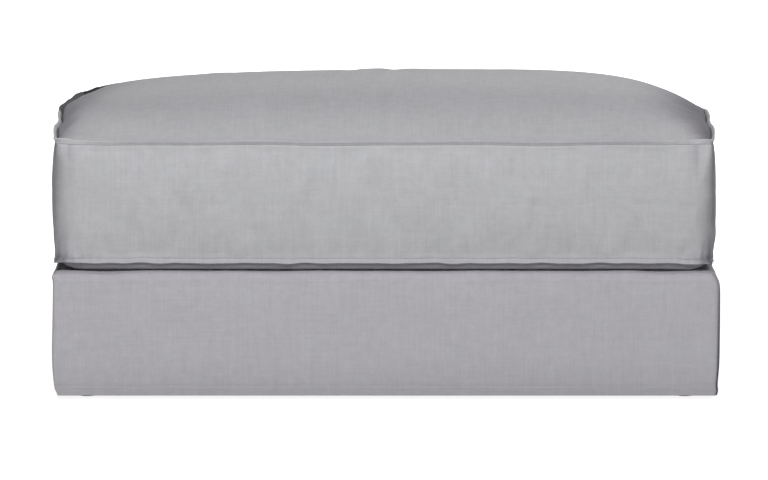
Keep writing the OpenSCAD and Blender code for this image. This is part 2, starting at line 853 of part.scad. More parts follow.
module flange(w, z, up) {
    ring = whole_ring(w, 0);
    count = len(ring);
    sides = len(flange_outline);
    lean = up * flange_lean;
    points = [for (i = [0 : count - 1])
        let (before = ring[(i + count - 1) % count], after = ring[(i + 1) % count],
             run = (after - before) / norm(after - before), out = [run.y, -run.x])
        for (p = flange_outline)
            let (far = p.x * cos(lean) - p.y * sin(lean), rise = p.x * sin(lean) + p.y * cos(lean))
            [ring[i].x + out.x * far, ring[i].y + out.y * far, z + rise]];
    faces = [for (i = [0 : count - 1], k = [0 : sides - 1])
        let (n = (i + 1) % count, m = (k + 1) % sides,
             a = i * sides + k, b = n * sides + k, c = n * sides + m, d = i * sides + m)
        each [[a, c, b], [a, d, c]]];
    polyhedron(points, faces);
}

module top_flange() {
    color(cloth_color) flange(1, seam_z, 1);
}

module bottom_flange() {
    color(cloth_color) flange(0, low_z, -1);
}

// Filling: a foam core between two fibre layers
core_low = low_z + cloth_t + fit + fibre_t;
core_high = seam_z - cloth_t - fit - fibre_t;

module cushion_core() {
    half_w = cushion_x - cloth_t - fit;
    half_d = cushion_y - cloth_t - fit;
    c = core_chamfer;
    color(foam_color) translate([0, 0, core_low]) linear_extrude(core_high - core_low)
        polygon([[half_w, c - half_d], [half_w, half_d - c], [half_w - c, half_d],
                 [c - half_w, half_d], [-half_w, half_d - c], [-half_w, c - half_d],
                 [c - half_w, -half_d], [half_w - c, -half_d]]);
}

// Grid places of the fibre layers, closer together towards the rim
fibre_xs = [for (i = [0 : fibre_cells_x]) cushion_x * sin(180 * i / fibre_cells_x - 90)];
fibre_ys = [for (j = [0 : fibre_cells_y]) cushion_y * sin(180 * j / fibre_cells_y - 90)];

module fibre(grid, z) {
    color(fibre_color) layer(grid, [for (p = grid) [p.x, p.y, z]], fibre_cells_x, fibre_cells_y);
}

module fibre_top() {
    fibre([for (p = top_grid(fibre_xs, fibre_ys, cloth_t + fibre_gap)) p], core_high + pad_gap);
}

module fibre_bottom() {
    fibre([for (p = under_grid(fibre_xs, fibre_ys, cloth_t + fibre_gap)) p], core_low - pad_gap);
}

// Zip. The upper half is modelled, and the lower half is its mirror image.
module zip_halves() {
    translate([0, 0, zip_z]) {
        children();
        mirror([0, 0, 1]) children();
    }
}

// A flat piece of the zip, drawn in X and Z and centred on the chain's middle plane
module zip_sheet(thickness) {
    translate([0, chain_y + thickness / 2, 0]) rotate([90, 0, 0]) linear_extrude(thickness) children();
}

module zip_tapes() {
    reach = zip_half + stop_l;
    color("#b9b7ba") zip_halves() zip_sheet(tape_t)
        translate([-reach, chain_half]) square([2 * reach, tape_half - chain_half]);
}

tooth_count = floor(2 * zip_half / tooth_step);
function comb(start) = [for (i = [0 : tooth_count - 1])
    let (x = -zip_half + start + i * tooth_step, w = tooth_fill * tooth_step)
    each [[x, chain_half - chain_rib], [x, chain_split], [x + w, chain_split], [x + w, chain_half - chain_rib]]];

module zip_teeth() {
    color("#cfcdd0") zip_halves() zip_sheet(tooth_t) polygon(concat(
        [[-zip_half, chain_half - chain_rib]], comb((1 - tooth_fill) * tooth_step / 2),
        [[zip_half, chain_half - chain_rib], [zip_half, chain_half], [-zip_half, chain_half]]));
}

module zip_stops() {
    color(steel_color) zip_halves() zip_sheet(tooth_t) {
        translate([zip_half, chain_split]) square([stop_l, chain_half - chain_split]);
        translate([-zip_half - stop_l, 0]) square([stop_l, chain_half]);
    }
}

// A plate of the slider with lips beside the teeth: out is 1 for the outer plate, -1 for the inner
module slider_plate(out) {
    translate([slider_x, chain_y, zip_z]) mirror([0, out < 0 ? 1 : 0, 0]) {
        translate([-plate_l / 2, plate_y - chain_y, -plate_half]) cube([plate_l, plate_t, 2 * plate_half]);
        for (side = [0, 1]) mirror([0, 0, side])
            translate([-plate_l / 2, plate_y - chain_y - lip_t, lip_in])
                cube([plate_l, lip_t + plate_t / 2, plate_half - lip_in]);
    }
}

module zip_slider() {
    post_h = 2 * (plate_y - chain_y) + plate_t;
    color(steel_color) {
        slider_plate(1);
        slider_plate(-1);
        translate([slider_x + plate_l / 2 - post_l, chain_y - post_h / 2, zip_z - post_t / 2])
            cube([post_l, post_h, post_t]);
        translate([slider_x, plate_y + plate_t, zip_z]) difference() {
            translate([-bail_l / 2, -plate_t / 2, -bail_w / 2])
                cube([bail_l, plate_t / 2 + bail_room + bail_t, bail_w]);
            translate([bail_leg - bail_l / 2, 0, -bail_w])
                cube([bail_l - 2 * bail_leg, bail_room, 2 * bail_w]);
        }
    }
}

module zip_pull() {
    color(steel_color) translate([slider_x, pull_y, zip_z]) {
        translate([0, 0, -pull_arm_out]) cylinder(d = pull_bar_d, h = 2 * pull_arm_out);
        for (side = [0, 1]) mirror([0, 0, side]) translate([-pull_window - 1, -pull_t / 2, pull_arm_in])
            cube([pull_window + 1, pull_t, pull_arm_out - pull_arm_in]);
        difference() {
            union() {
                translate([-pull_l + pull_half, -pull_t / 2, -pull_half])
                    cube([pull_l - pull_half - pull_window, pull_t, 2 * pull_half]);
                translate([-pull_l + pull_half, pull_t / 2, 0]) rotate([90, 0, 0])
                    cylinder(r = pull_half * 0.98, h = pull_t);
            }
            translate([-pull_l + pull_half, pull_t, 0]) rotate([90, 0, 0])
                cylinder(r = pull_half * 0.4, h = 2 * pull_t);
        }
    }
}

glides();
foot(true, true);  // foot_front_left
foot(false, true);  // foot_front_right
foot(true, false);  // foot_back_left
foot(false, false);  // foot_back_right
foot_studs();
foot_washers();
foot_nuts();
front_rail();
back_rail();
left_rail();
right_rail();
middle_brace();
corner_block(true, true);  // corner_block_front_left
corner_block(false, true);  // corner_block_front_right
corner_block(true, false);  // corner_block_back_left
corner_block(false, false);  // corner_block_back_right
rail_dowels();
block_screws();
brace_screws();
dust_cover();
dust_cover_staples();
spring(1);  // spring_1
spring(2);  // spring_2
spring(3);  // spring_3
spring(4);  // spring_4
spring(5);  // spring_5
spring(6);  // spring_6
front_spring_clips();
back_spring_clips();
clip_nails();
stay_wires();
stay_clips();
felt_pad();
deck_foam();
front_wadding();
back_wadding();
left_wadding();
right_wadding();
cover_front();
cover_back();
cover_left();
cover_right();
deck_cloth();
cushion_core();
fibre_top();
fibre_bottom();
cushion_top();
cushion_bottom();
cushion_boxing();
top_flange();
bottom_flange();
zip_strip_upper();
zip_strip_lower();
zip_tapes();
zip_teeth();
zip_stops();
zip_slider();
zip_pull();
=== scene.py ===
"""Slipcovered footstool with one loose boxed cushion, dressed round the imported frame. Metres, +Z up."""

import math

import bpy
import numpy as np
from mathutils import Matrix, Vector


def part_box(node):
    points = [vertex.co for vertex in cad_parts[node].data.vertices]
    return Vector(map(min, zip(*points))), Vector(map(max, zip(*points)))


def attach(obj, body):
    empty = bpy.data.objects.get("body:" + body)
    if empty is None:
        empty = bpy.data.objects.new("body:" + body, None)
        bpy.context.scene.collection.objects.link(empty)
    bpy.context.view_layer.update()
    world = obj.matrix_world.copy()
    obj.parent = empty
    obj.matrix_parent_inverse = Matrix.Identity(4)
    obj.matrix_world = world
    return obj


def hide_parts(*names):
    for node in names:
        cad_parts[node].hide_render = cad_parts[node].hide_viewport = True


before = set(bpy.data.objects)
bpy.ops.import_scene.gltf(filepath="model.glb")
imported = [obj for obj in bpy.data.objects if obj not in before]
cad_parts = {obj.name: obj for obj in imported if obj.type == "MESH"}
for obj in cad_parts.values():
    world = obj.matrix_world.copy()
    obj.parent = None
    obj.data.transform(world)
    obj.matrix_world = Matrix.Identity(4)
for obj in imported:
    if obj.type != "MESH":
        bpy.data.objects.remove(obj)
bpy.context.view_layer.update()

# Sizes shared with the solids
SEAM_X, SEAM_Y = 0.497, 0.314  # the cushion's half sizes at its seams
LOW_Z, SEAM_Z, DECK_Z = 0.2170, 0.3925, 0.200
BOXING_H = SEAM_Z - LOW_Z
BASE_X, BASE_Y = 0.508, 0.330
ZIP_Z, ZIP_END, SLOT = 0.3065, 0.457, 0.006
CROWN, SHOULDER = 0.0675, 0.0192
FLANGE_T = 0.0020


def bump(x, at, width):
    """A smooth hill, 1 high."""
    return np.exp(-(((x - at) / width) ** 2))


def bumps(x, *hills):
    """Hills along x, each given as (place, width, height)."""
    return sum(height * bump(x, at, width) for at, width, height in hills)


def smooth(x, a, b):
    """A smooth step, 0 up to a and 1 from b."""
    t = np.clip((x - a) / (b - a), 0, 1)
    return t * t * (3 - 2 * t)


def waves(x, seed, lengths, sizes):
    """A sum of sines with fixed random phases: smooth waviness along x."""
    rng = np.random.default_rng(seed)
    return sum(size * np.sin(2 * np.pi * (x / length + rng.random())) for length, size in zip(lengths, sizes))


# Meshes


def add_object(name, data):
    ob = bpy.data.objects.new(name, data)
    bpy.context.scene.collection.objects.link(ob)
    return ob


def mesh_object(name, points, parts, shade=None):
    """parts: (faces (n, 4), uv (n, 4, 2), material) each. Faces share the points."""
    me = bpy.data.meshes.new(name)
    groups, uvs, materials = zip(*parts)
    faces = np.vstack(groups)
    me.from_pydata(points.tolist(), [], faces.tolist())
    uv = np.vstack([np.reshape(u, (-1, 2)) for u in uvs])
    me.uv_layers.new(name="cloth").data.foreach_set("uv", uv.astype(np.float32).ravel())
    for material in materials:
        me.materials.append(material)
    index = np.repeat(range(len(parts)), [len(f) for f in groups])
    me.polygons.foreach_set("material_index", index.astype(np.int32))
    me.polygons.foreach_set("use_smooth", np.full(len(faces), True))
    # Painted shade, kept as a point attribute that darkens the cloth's colour
    if shade is not None:
        me.attributes.new("shade", "FLOAT", "POINT").data.foreach_set("value", shade.astype(np.float32))
    me.validate()
    return add_object(name, me)


def grid_faces(ids):
    a, b, c, d = ids[:-1, :-1], ids[1:, :-1], ids[1:, 1:], ids[:-1, 1:]
    return np.stack([a, b, c, d], -1).reshape(-1, 4)


def grid_uv(u, v):
    """Corner coordinates of a grid's faces, from coordinates at its points."""
    w = np.stack([u, v], -1)
    return np.stack([w[:-1, :-1], w[1:, :-1], w[1:, 1:], w[:-1, 1:]], -2).reshape(-1, 4, 2)


# Materials


class Nodes:
    """Builds the node tree of a material or a world."""

    def __init__(self, owner):
        owner.use_nodes = True
        self.owner, self.tree = owner, owner.node_tree
        self.bsdf = self.tree.nodes.get("Principled BSDF")

    def put(self, value, socket):
        """Sets a value at a socket, or links another socket to it."""
        if isinstance(value, bpy.types.NodeSocket):
            self.tree.links.new(value, socket)
        else:
            socket.default_value = value

    def new(self, kind, *first, **values):
        """A node with its first inputs, and properties and other inputs by name."""
        n = self.tree.nodes.new(kind)
        for name, value in values.items():
            if hasattr(n, name):
                setattr(n, name, value)
            else:
                self.put(value, n.inputs[name.replace("_", " ")])
        for value, socket in zip(first, n.inputs):
            self.put(value, socket)
        return n

    def math(self, operation, *values, clamp=False):
        return self.new("ShaderNodeMath", *values, operation=operation, use_clamp=clamp).outputs[0]

    def add(self, a, b):
        return self.math("ADD", a, b)

    def less(self, a, b, clamp=False):
        return self.math("SUBTRACT", a, b, clamp=clamp)

    def times(self, a, b, clamp=False):
        return self.math("MULTIPLY", a, b, clamp=clamp)

    def uneven(self, *parts):
        """Adds up how far each part is from 0.5, times its share."""
        total = None
        for part, share in parts:
            scaled = self.times(self.less(part, 0.5), share)
            total = self.add(total, scaled) if total else scaled
        return total

    def place(self):
        return self.new("ShaderNodeTexCoord").outputs["Object"]

    def mapped(self, vector, scale):
        return self.new("ShaderNodeMapping", Vector=vector, Scale=scale).outputs[0]

    def noise(self, vector, scale, detail=2.0, rough=0.5):
        n = self.new("ShaderNodeTexNoise", Vector=vector, Scale=scale, Detail=detail, Roughness=rough)
        return n.outputs["Fac"]

    def mix(self, blend, share, a, b):
        """Colour b over colour a, by a share."""
        n = self.new("ShaderNodeMix", share, data_type="RGBA", blend_type=blend)
        self.put(a, n.inputs[6])
        self.put(b, n.inputs[7])
        return n.outputs[2]

    def surface(self, **values):
        for name, value in values.items():
            self.put(value, self.bsdf.inputs[name.replace("_", " ")])

    def paint(self, color, tone):
        """The base colour: a colour times a tone."""
        painted = self.new("ShaderNodeVectorMath", color, operation="SCALE", Scale=tone)
        self.surface(Base_Color=painted.outputs[0])

    def relief(self, height, strength, depth):
        raised = self.new("ShaderNodeBump", Height=height, Strength=strength, Distance=depth)
        self.surface(Normal=raised.outputs[0])


def srgb(*color):
    """Linear colour of display values from 0 to 255."""
    c = np.array(color) / 255
    return tuple(np.where(c <= 0.04045, c / 12.92, ((c + 0.055) / 1.055) ** 2.4))


def toned(color, factors):
    return tuple(c * f for c, f in zip(color, factors)) + (1,)


def cloth_material(name, color, pitch=0.0011, slub=0.07, mottle=0.075):
    """Woven cloth: crossing threads, uneven yarns (slubs) along both ways, mottling, fibre fuzz and painted
    shade from a point attribute.
    """
    n = Nodes(bpy.data.materials.new(name))
    at = n.new("ShaderNodeUVMap", uv_map="cloth").outputs[0]
    # Yarns that vary in thickness: noise drawn out along the thread
    warp = n.noise(n.mapped(at, (620, 16, 20)), 1.0, 3, 0.6)
    weft = n.noise(n.mapped(at, (14, 560, 20)), 1.0, 3, 0.6)
    warp_slub = n.noise(n.mapped(at, (260, 9, 10)), 1.0, 2)
    weft_slub = n.noise(n.mapped(at, (7, 240, 10)), 1.0, 2)
    cloud, blotch, speck = n.noise(at, 13.0, 3), n.noise(at, 70.0, 2, 0.6), n.noise(at, 260.0, 2, 0.6)
    # Threads waver a little, so the weave isn't a ruled grid
    across, along = n.new("ShaderNodeSeparateXYZ", at).outputs[:2]
    turn, waver = 2 * math.pi / pitch, 3.0
    u = n.add(n.times(across, turn), n.times(warp_slub, waver))
    v = n.add(n.times(along, turn), n.times(weft_slub, waver))
    weave = n.times(n.math("SINE", u), n.math("SINE", v))
    tone = n.uneven((warp, slub * 2.6), (weft, slub * 2.4), (warp_slub, slub * 1.5), (weft_slub, slub * 0.9),
                    (cloud, mottle), (blotch, mottle * 2.6), (speck, mottle * 1.8))
    tone = n.add(n.add(tone, n.times(weave, 0.03)), 1.0)
    # Painted shade: the 'shade' point attribute darkens the colour where shade falls (crevices, folds, under
    # the cushion, ends turned from the light) and tints it a little purple
    painted_shade = n.new("ShaderNodeAttribute", attribute_name="shade").outputs["Fac"]
    tone = n.times(tone, n.less(1.0, painted_shade))
    warm, cool = toned(color, (1.007, 0.993, 1.0)), toned(color, (0.993, 1.006, 1.0))
    tint = n.mix("MIX", n.times(n.less(n.noise(at, 21.0, 2), 0.3), 2.2, True), warm, cool)
    n.paint(n.mix("MULTIPLY", painted_shade, tint, (1.0, 0.935, 1.075, 1)), tone)
    height = n.add(n.add(n.times(weave, 0.35), n.times(warp, 0.9)), n.times(weft, 0.7))
    n.relief(height, 0.35, 0.0004)
    n.surface(Roughness=0.92, Specular_IOR_Level=0.25, Sheen_Weight=0.08, Sheen_Roughness=0.5)
    return n.owner


CUSHION_CLOTH = cloth_material("cushion_linen", srgb(181, 181, 184))
BASE_CLOTH = cloth_material("base_linen", srgb(177.5, 175.5, 180.5))
LINING = cloth_material("lining_cotton", srgb(214, 212, 208), pitch=0.0007, slub=0.03)
ZIP_TAPE = cloth_material("zip_tape", srgb(168, 168, 171), pitch=0.0006, slub=0.02)
DUST_CLOTH = cloth_material("dust_cloth", srgb(46, 45, 47), pitch=0.0009, slub=0.10, mottle=0.2)


def filling_material(name, color, scale, stretch, depth, mottle, cells=False):
    """Foam, fibre or felt: fine cells or fibres, with uneven tone."""
    n = Nodes(bpy.data.materials.new(name))
    at = n.place()
    fine = n.noise(n.mapped(at, stretch), scale, 3, 0.65)
    if cells:
        pores = n.new("ShaderNodeTexVoronoi", Vector=at, Scale=scale * 1.4).outputs["Distance"]
        fine = n.add(n.times(pores, 0.8), n.times(fine, 0.4))
    n.paint(color, n.add(n.uneven((fine, mottle), (n.noise(at, 11.0, 3), mottle)), 1.0))
    n.relief(fine, 0.6, depth)
    n.surface(Roughness=0.95, Specular_IOR_Level=0.15)
    return n.owner


FOAM = filling_material("foam", srgb(236, 226, 190), 900, (1, 1, 1), 0.0006, 0.10, True)
FIBRE = filling_material("fibre", srgb(238, 238, 236), 160, (1, 3, 1), 0.0012, 0.08)
FELT = filling_material("felt", srgb(128, 130, 134), 300, (1, 2, 1), 0.0008, 0.45)


def wood_material(name, color, along):
    """Sawn timber: growth rings and pores drawn out along one axis."""
    n = Nodes(bpy.data.materials.new(name))
    at = n.place()

    def drawn(lengthwise, across):
        return n.mapped(at, tuple(lengthwise if k == along else across for k in range(3)))

    rings = n.new("ShaderNodeTexWave", wave_type="BANDS", bands_direction="DIAGONAL", Vector=drawn(1.0, 14.0),
                  Scale=1.6, Distortion=7.0, Detail=3.0, Detail_Scale=1.3).outputs["Fac"]
    pores = n.noise(drawn(18.0, 520.0), 1.0, 2, 0.6)
    light, dark = toned(color, (1.08, 1.08, 1.08)), toned(color, (0.78, 0.70, 0.62))
    mixed = n.less(n.add(n.times(rings, 0.65), n.times(pores, 0.4)), 0.15, True)
    n.surface(Base_Color=n.mix("MIX", mixed, light, dark), Roughness=n.add(n.times(pores, 0.25), 0.5))
    n.relief(pores, 0.4, 0.0003)
    return n.owner


def metal_material(name, color, rough, scale=90):
    """Plated metal: cloudy roughness, fine scratches and a little uneven tone."""
    n = Nodes(bpy.data.materials.new(name))
    at = n.place()
    cloud, scratch = n.noise(at, scale, 3), n.noise(n.mapped(at, (900, 120, 900)), 1.0, 2)
    n.paint(color, n.add(n.times(cloud, 0.25), 0.86))
    wear = n.add(n.times(cloud, 0.2), n.times(scratch, 0.12))
    n.surface(Roughness=n.add(wear, rough - 0.16), Metallic=1.0)
    n.relief(scratch, 0.15, 0.0001)
    return n.owner


def plastic_material(name, color, rough):
    """Moulded plastic: a fine satin grain and slightly uneven gloss."""
    n = Nodes(bpy.data.materials.new(name))
    at = n.place()
    grain, cloud = n.noise(at, 1400, 2), n.noise(at, 60, 2)
    n.paint(color, n.add(n.times(cloud, 0.08), 0.96))
    n.surface(Roughness=n.add(n.times(cloud, 0.15), rough))
    n.relief(grain, 0.2, 0.0001)
    return n.owner


# Cushion: outlines of its boxing

EDGE_MARKS = np.array([0, 0.0012, 0.0026, 0.0044, 0.0068, 0.0095, 0.0125, 0.0155, 0.0185, 0.0215, 0.0245,
                       0.0285])
CORNER_R, CORNER_SWELL, MID_SWELL = 0.034, 0.0042, 0.002


def marks(half, step=0.0052):
    """Places along a side from -half to half: closely spaced at the seams, then even."""
    inner = half - EDGE_MARKS[-1]
    count = int(round(2 * inner / step))
    near = EDGE_MARKS[:-1]
    return np.r_[-half + near, np.linspace(-inner, inner, count + 1), half - near[::-1]]


XM, YM = marks(SEAM_X), marks(SEAM_Y)


def swell(w):
    """Outward swell of a side at height share w, fullest a little below the middle."""
    return (4 * w * (1 - w)) ** 0.7 * (1 - 0.1 * (w - 0.5))


def crease(a, d, start, end, width, depth):
    """Relief of a crease from start to end; a is the distance from the corner, d from the seam."""
    (ax, ad), (bx, bd) = start, end
    run = (bx - ax) ** 2 + (bd - ad) ** 2
    t = np.clip(((a - ax) * (bx - ax) + (d - ad) * (bd - ad)) / run, 0, 1)
    off = np.hypot(a - ax - t * (bx - ax), d - ad - t * (bd - ad))
    return depth * bump(off, 0, width) * (1 - 0.6 * t)


def boxing_relief(m, half, w, seed):
    """Small unevenness of the boxing: long soft waves, upright folds and puckers at the corners."""
    a, low, high = half - np.abs(m), w * BOXING_H, (1 - w) * BOXING_H
    side = np.sign(m) * (1 if seed % 2 else -1)
    out = waves(m + 0.3 * w * BOXING_H, seed, (0.41, 0.19, 0.11), (0.0006, 0.0004, 0.0002)) * 4 * w * (1 - w)
    left, right = side < 0, side > 0
    # (which end, distance from which seam, start, end, width, depth)
    creases = (
        (left, high, (0.0200, 0.002), (0.0205, 0.046), 0.0042, -0.0016),
        (left, high, (0.0140, 0.002), (0.0150, 0.040), 0.0038, 0.0009),
        (left, low, (0.0130, 0.001), (0.0060, 0.026), 0.0036, -0.0021),
        (left, low, (0.0190, 0.001), (0.0195, 0.016), 0.0034, 0.0018),
        (left, low, (0.0290, 0.001), (0.0400, 0.006), 0.0036, 0.0015),
        (left, low, (0.0440, 0.001), (0.0470, 0.008), 0.0036, -0.0010),
        (right, high, (0.0230, 0.002), (0.0240, 0.046), 0.0042, -0.0016),
        (right, high, (0.0170, 0.002), (0.0180, 0.038), 0.0038, 0.0010),
        (right, low, (0.0190, 0.001), (0.0150, 0.014), 0.0034, 0.0017),
        (right, low, (0.0120, 0.001), (0.0080, 0.022), 0.0034, -0.0017),
        (right, low, (0.0400, 0.001), (0.0380, 0.010), 0.0036, 0.0014),
    )
    for here, d, start, end, width, depth in creases:
        out += np.where(here, crease(a, d, start, end, width, depth), 0)
    return out


def side_point(m, half, other, w, seed, right):
    """A point of the boxing at height share w: (along the side, out from the middle)."""
    lip = (0.0004 if w < 0.5 else 0.0009) * (1 - math.exp(-min(w, 1 - w) * BOXING_H / 0.0003))
    e = CORNER_SWELL * swell(w) + lip
    # The corners sharpen towards the seams, and the right ones in their upper half
    r = CORNER_R * (4 * w * (1 - w)) ** (0.22 if w < 0.5 else 0.40)
    r = r * (1 - (0.3 + 0.25 * right) * smooth(w, 0.6, 0.95))
    r = np.maximum(1e-6, r * (1 - 0.30 * right * smooth(w, 0.25, 0.55)))
    a, reach = half - np.abs(m), 2 * CORNER_R
    turn = np.radians(45 + 45 * a / r)
    arc = half + e - r + r * np.cos(turn)
    ease = half + e - r - (a - r) * (e - r + reach) / (reach - r)
    along = np.sign(m) * np.where(a >= reach, np.abs(m), np.where(a < r, arc, ease))
    cut = np.where(a < r, r - r * np.sin(turn), 0)
    puff = MID_SWELL * swell(w) * (1 - np.abs(m / half) ** 4)
    return along, other + e - cut + puff + boxing_relief(m, half, w, seed)


def ring(w, xm=XM, ym=YM):
    """The boxing's outline, anticlockwise seen from above, from the front left corner."""
    fx, fo = side_point(xm, SEAM_X, SEAM_Y, w, 5, xm > 0)
    ry, ro = side_point(ym, SEAM_Y, SEAM_X, w, 7, 1)
    bx, bo = side_point(xm, SEAM_X, SEAM_Y, w, 10, xm > 0)
    ly, lo = side_point(ym, SEAM_Y, SEAM_X, w, 12, 0)
    # At a corner both sides meet at one point
    fo[0] = lo[0] - SEAM_X + SEAM_Y
    fo[-1] = ro[0] - SEAM_X + SEAM_Y
    ro[-1] = bo[-1] - SEAM_Y + SEAM_X
    bo[0] = lo[-1] - SEAM_X + SEAM_Y
    front, right = np.stack([fx, -fo], -1), np.stack([ro, ry], -1)
    back, left = np.stack([bx, bo], -1)[::-1], np.stack([-lo, ly], -1)[::-1]
    return np.r_[front[:-1], right[:-1], back[:-1], left[:-1]]


def ring_at(w, xm=XM, ym=YM):
    """The boxing's outline as points, at height share w."""
    plan = ring(w, xm, ym)
    return np.column_stack([plan, np.full(len(plan), LOW_Z + w * BOXING_H)])


def ring_ids(ids):
    """The border of a grid of points, in ring()'s order."""
    return np.r_[ids[:-1, 0], ids[-1, :-1], ids[:0:-1, -1], ids[0, :0:-1]]


def ring_places(xm, ym):
    """Distance along the ring at each of its points, in ring()'s order."""
    a, b = 2 * SEAM_X, 2 * SEAM_Y
    front, right = xm[:-1] + SEAM_X, a + ym[:-1] + SEAM_Y
    return np.r_[front, right, a + b + SEAM_X - xm[:0:-1], 2 * a + b + SEAM_Y - ym[:0:-1]]


def boxing_heights():
    """Height shares of the boxing's rows, closer at its seams and at the zip's slot."""
    near = np.array([0, 0.0004, 0.0009, 0.0016, 0.0028, 0.0045, 0.0070, 0.0105]) / BOXING_H
    w = np.r_[near, np.linspace(0.085, 0.915, 30), 1 - near[::-1]]
    zip_w = (ZIP_Z - LOW_Z) / BOXING_H
    lips = np.array([-SLOT - 0.0022, -SLOT - 0.0006, -SLOT, -SLOT + 0.0012]) / BOXING_H
    w = w[np.abs(w - zip_w) > (SLOT + 0.004) / BOXING_H]
    return np.sort(np.r_[w, zip_w + lips, zip_w - lips]), zip_w


# Cushion: its uneven set, its top and its underside

# Heights between which the upper part sets in, the foot ends and the upper edge sets in
UPPER, FOOT, UPPER_EDGE = (0.27, 0.38), (0.222, 0.250), (0.350, 0.392)


def corner_distance(x, y):
    return np.hypot(SEAM_X - np.abs(x), SEAM_Y - np.abs(y))


def beside_corner(x, y, side_x, side_y, reach):
    """1 at one of the cushion's corners, fading out over a reach."""
    return np.exp(-np.hypot(x - side_x * SEAM_X, y - side_y * SEAM_Y) / reach)


def warp(p):
    """The uneven set of a used cushion: sides swell, the right side draws in towards the back."""
    x, y, z = p[..., 0], p[..., 1], p[..., 2]
    v, high, foot = y / SEAM_Y, smooth(z, *UPPER), 1 - smooth(z, *FOOT)
    left = 0.018 * (1 - v**2) - 0.0012 * high + bumps(z, (0.243, 0.020, 0.0016))
    left += high * bumps(y, (-0.09, 0.06, -0.0056), (0.065, 0.035, 0.0034))
    right = 0.015 * (1 - v**2) - 0.0035 - 0.0155 * smooth(v, 0.1, 1.0)
    right += high * bumps(y, (-0.09, 0.055, -0.0045), (0.08, 0.035, 0.004))
    right += bumps(z, (0.325, 0.050, -0.0020), (0.243, 0.020, 0.0024))
    out = p.copy()
    out[..., 0] = x + np.sign(x) * (np.abs(x) / SEAM_X) ** 2 * np.where(x < 0, left, right)
    ends = np.where(y < 0, 0.008, 0.004) * (1 - (x / SEAM_X) ** 4)
    out[..., 1] = y + np.sign(y) * (np.abs(y) / SEAM_Y) ** 2 * ends
    # The upper seam wavers and drops at the back corners and along the front, with a peak at the back left
    near = np.exp(-corner_distance(x, y) / 0.03)
    lift = 0.0005 * near + waves(x + 2.1 * y, 3, (0.31, 0.17), (0.0006, 0.0004))
    lift -= 0.010 * beside_corner(x, y, 1, 1, 0.10) + 0.0064 * beside_corner(x, y, -1, 1, 0.08)
    lift += 0.013 * bump(x, -0.435, 0.036) * smooth(y, 0.22, 0.30) - 0.0014 * smooth(-y, 0.24, 0.31)
    out[..., 2] = z + high * lift
    at_seam = (1 - smooth(z, 0.215, 0.25)) * smooth(z, 0.203, 0.210)
    out[..., 2] += at_seam * waves(x + 1.3 * y, 15, (0.14, 0.062, 0.041), (0.0003, 0.0003, 0.0002))
    # The front left corner points out above and below, and both lower front corners hang down
    front_left = beside_corner(x, y, -1, -1, 0.03)
    out[..., 0] -= front_left * (0.0045 * foot + 0.0030 * smooth(z, *UPPER_EDGE))
    out[..., 2] -= foot * (0.0012 * front_left + 0.0042 * beside_corner(x, y, 1, -1, 0.04))
    return out


def hump(t):
    """A rounded hill that starts at 0 and is 1 high at t = 1."""
    return (t * np.exp(1 - t)) ** 2


def crown(x, y):
    """Height of the top over its seam: a full left shoulder, and a right side that slopes."""
    u, v = np.clip(np.abs(x) / SEAM_X, 0, 1), np.clip(np.abs(y) / SEAM_Y, 0, 1)
    e, ends = SEAM_X * (1 - u), SEAM_Y * (1 - v)
    broad = (1 - np.exp(-e / 0.13)) / (1 - math.exp(-SEAM_X / 0.13))
    left = SHOULDER * (1 - np.exp(-e / 0.0113)) + (CROWN - SHOULDER) * broad
    left -= 0.0072 * bump(e, 0.033, 0.026) * smooth(y, -0.15, 0.0)
    right = CROWN * (1 - u**5.9) * (1 - 0.9 * smooth(y / SEAM_Y, -0.2, 0.9) * u**11)
    uneven = bumps(x, (0.03, 0.07, 0.0007), (-0.14, 0.08, -0.0012), (-0.34, 0.05, 0.0007),
                   (0.2, 0.05, -0.0005))
    rise = (np.where(x < 0, left, right) + uneven) * (1 - v ** np.where(y < 0, 2.4, 2.03))
    # Towards the front the shoulders stand up steeply behind a short valley
    shoulder = np.where(x < 0, 0.0045 * hump(e / 0.038) - 0.0032 * hump(e / 0.009), 0.0065 * hump(e / 0.023))
    rise += shoulder * smooth(-y, -0.06, 0.03) * smooth(ends, 0.0, 0.09)
    return rise + 0.0056 * (1 - np.exp(-np.minimum(e / 0.0020, ends / 0.0028)))


def underside(x, y):
    """Height below the lower seam: the underside turns down to lie flat on the deck."""
    def turn(edge, width):
        return 1 - (1 - np.clip(edge / width, 0, 1)) ** 2

    ends = SEAM_Y - np.abs(y)
    down = (LOW_Z - DECK_Z - 0.0004) * turn(SEAM_X - np.abs(x), 0.020) * turn(ends, 0.0115)
    return (down + 0.0009 * bump(ends, 0.013, 0.008)) * smooth(corner_distance(x, y), -0.01, 0.036)


def panels(xm, ym):
    """Plan places and the points of the top and of the underside."""
    x, y = np.meshgrid(xm, ym, indexing="ij")
    return x, y, np.stack([x, y, SEAM_Z + crown(x, y)], -1), np.stack([x, y, LOW_Z - underside(x, y)], -1)


def tuck_in(x, y, panel, puffs):
    """A panel's edges stand just inside the seam, by the flange, and the panel puffs out over them."""
    at_x, at_y = SEAM_X - np.abs(x), SEAM_Y - np.abs(y)
    for axis, (a, e, ends, puff) in enumerate(((x, at_x, at_y, puffs[0]), (y, at_y, at_x, puffs[1]))):
        out = puff * (e / 0.006) * np.exp(1 - e / 0.006) * smooth(ends, 0, 0.04)
        panel[..., axis] = a + np.sign(a) * (out - 0.0016 * np.exp(-e / 0.004))


# Cushion: seam flanges

FLANGE_STEPS, FLANGE_TIP = 10, 0.0005
# (step out, side of the middle) round a flange, from the boxing to the panel
FLANGE_PROFILE = ((0, 0.6), (1, 0.95), (3, 0.9), (5, 0.92), (8, 1.0), (9, 0.95), (10, 0.6), (10, 0.0),
                  (10, -0.6), (9, -0.95), (7, -1.0), (4, -0.92), (2, -0.95))
INNER_ROWS = 6  # how many of a flange's rows face its panel


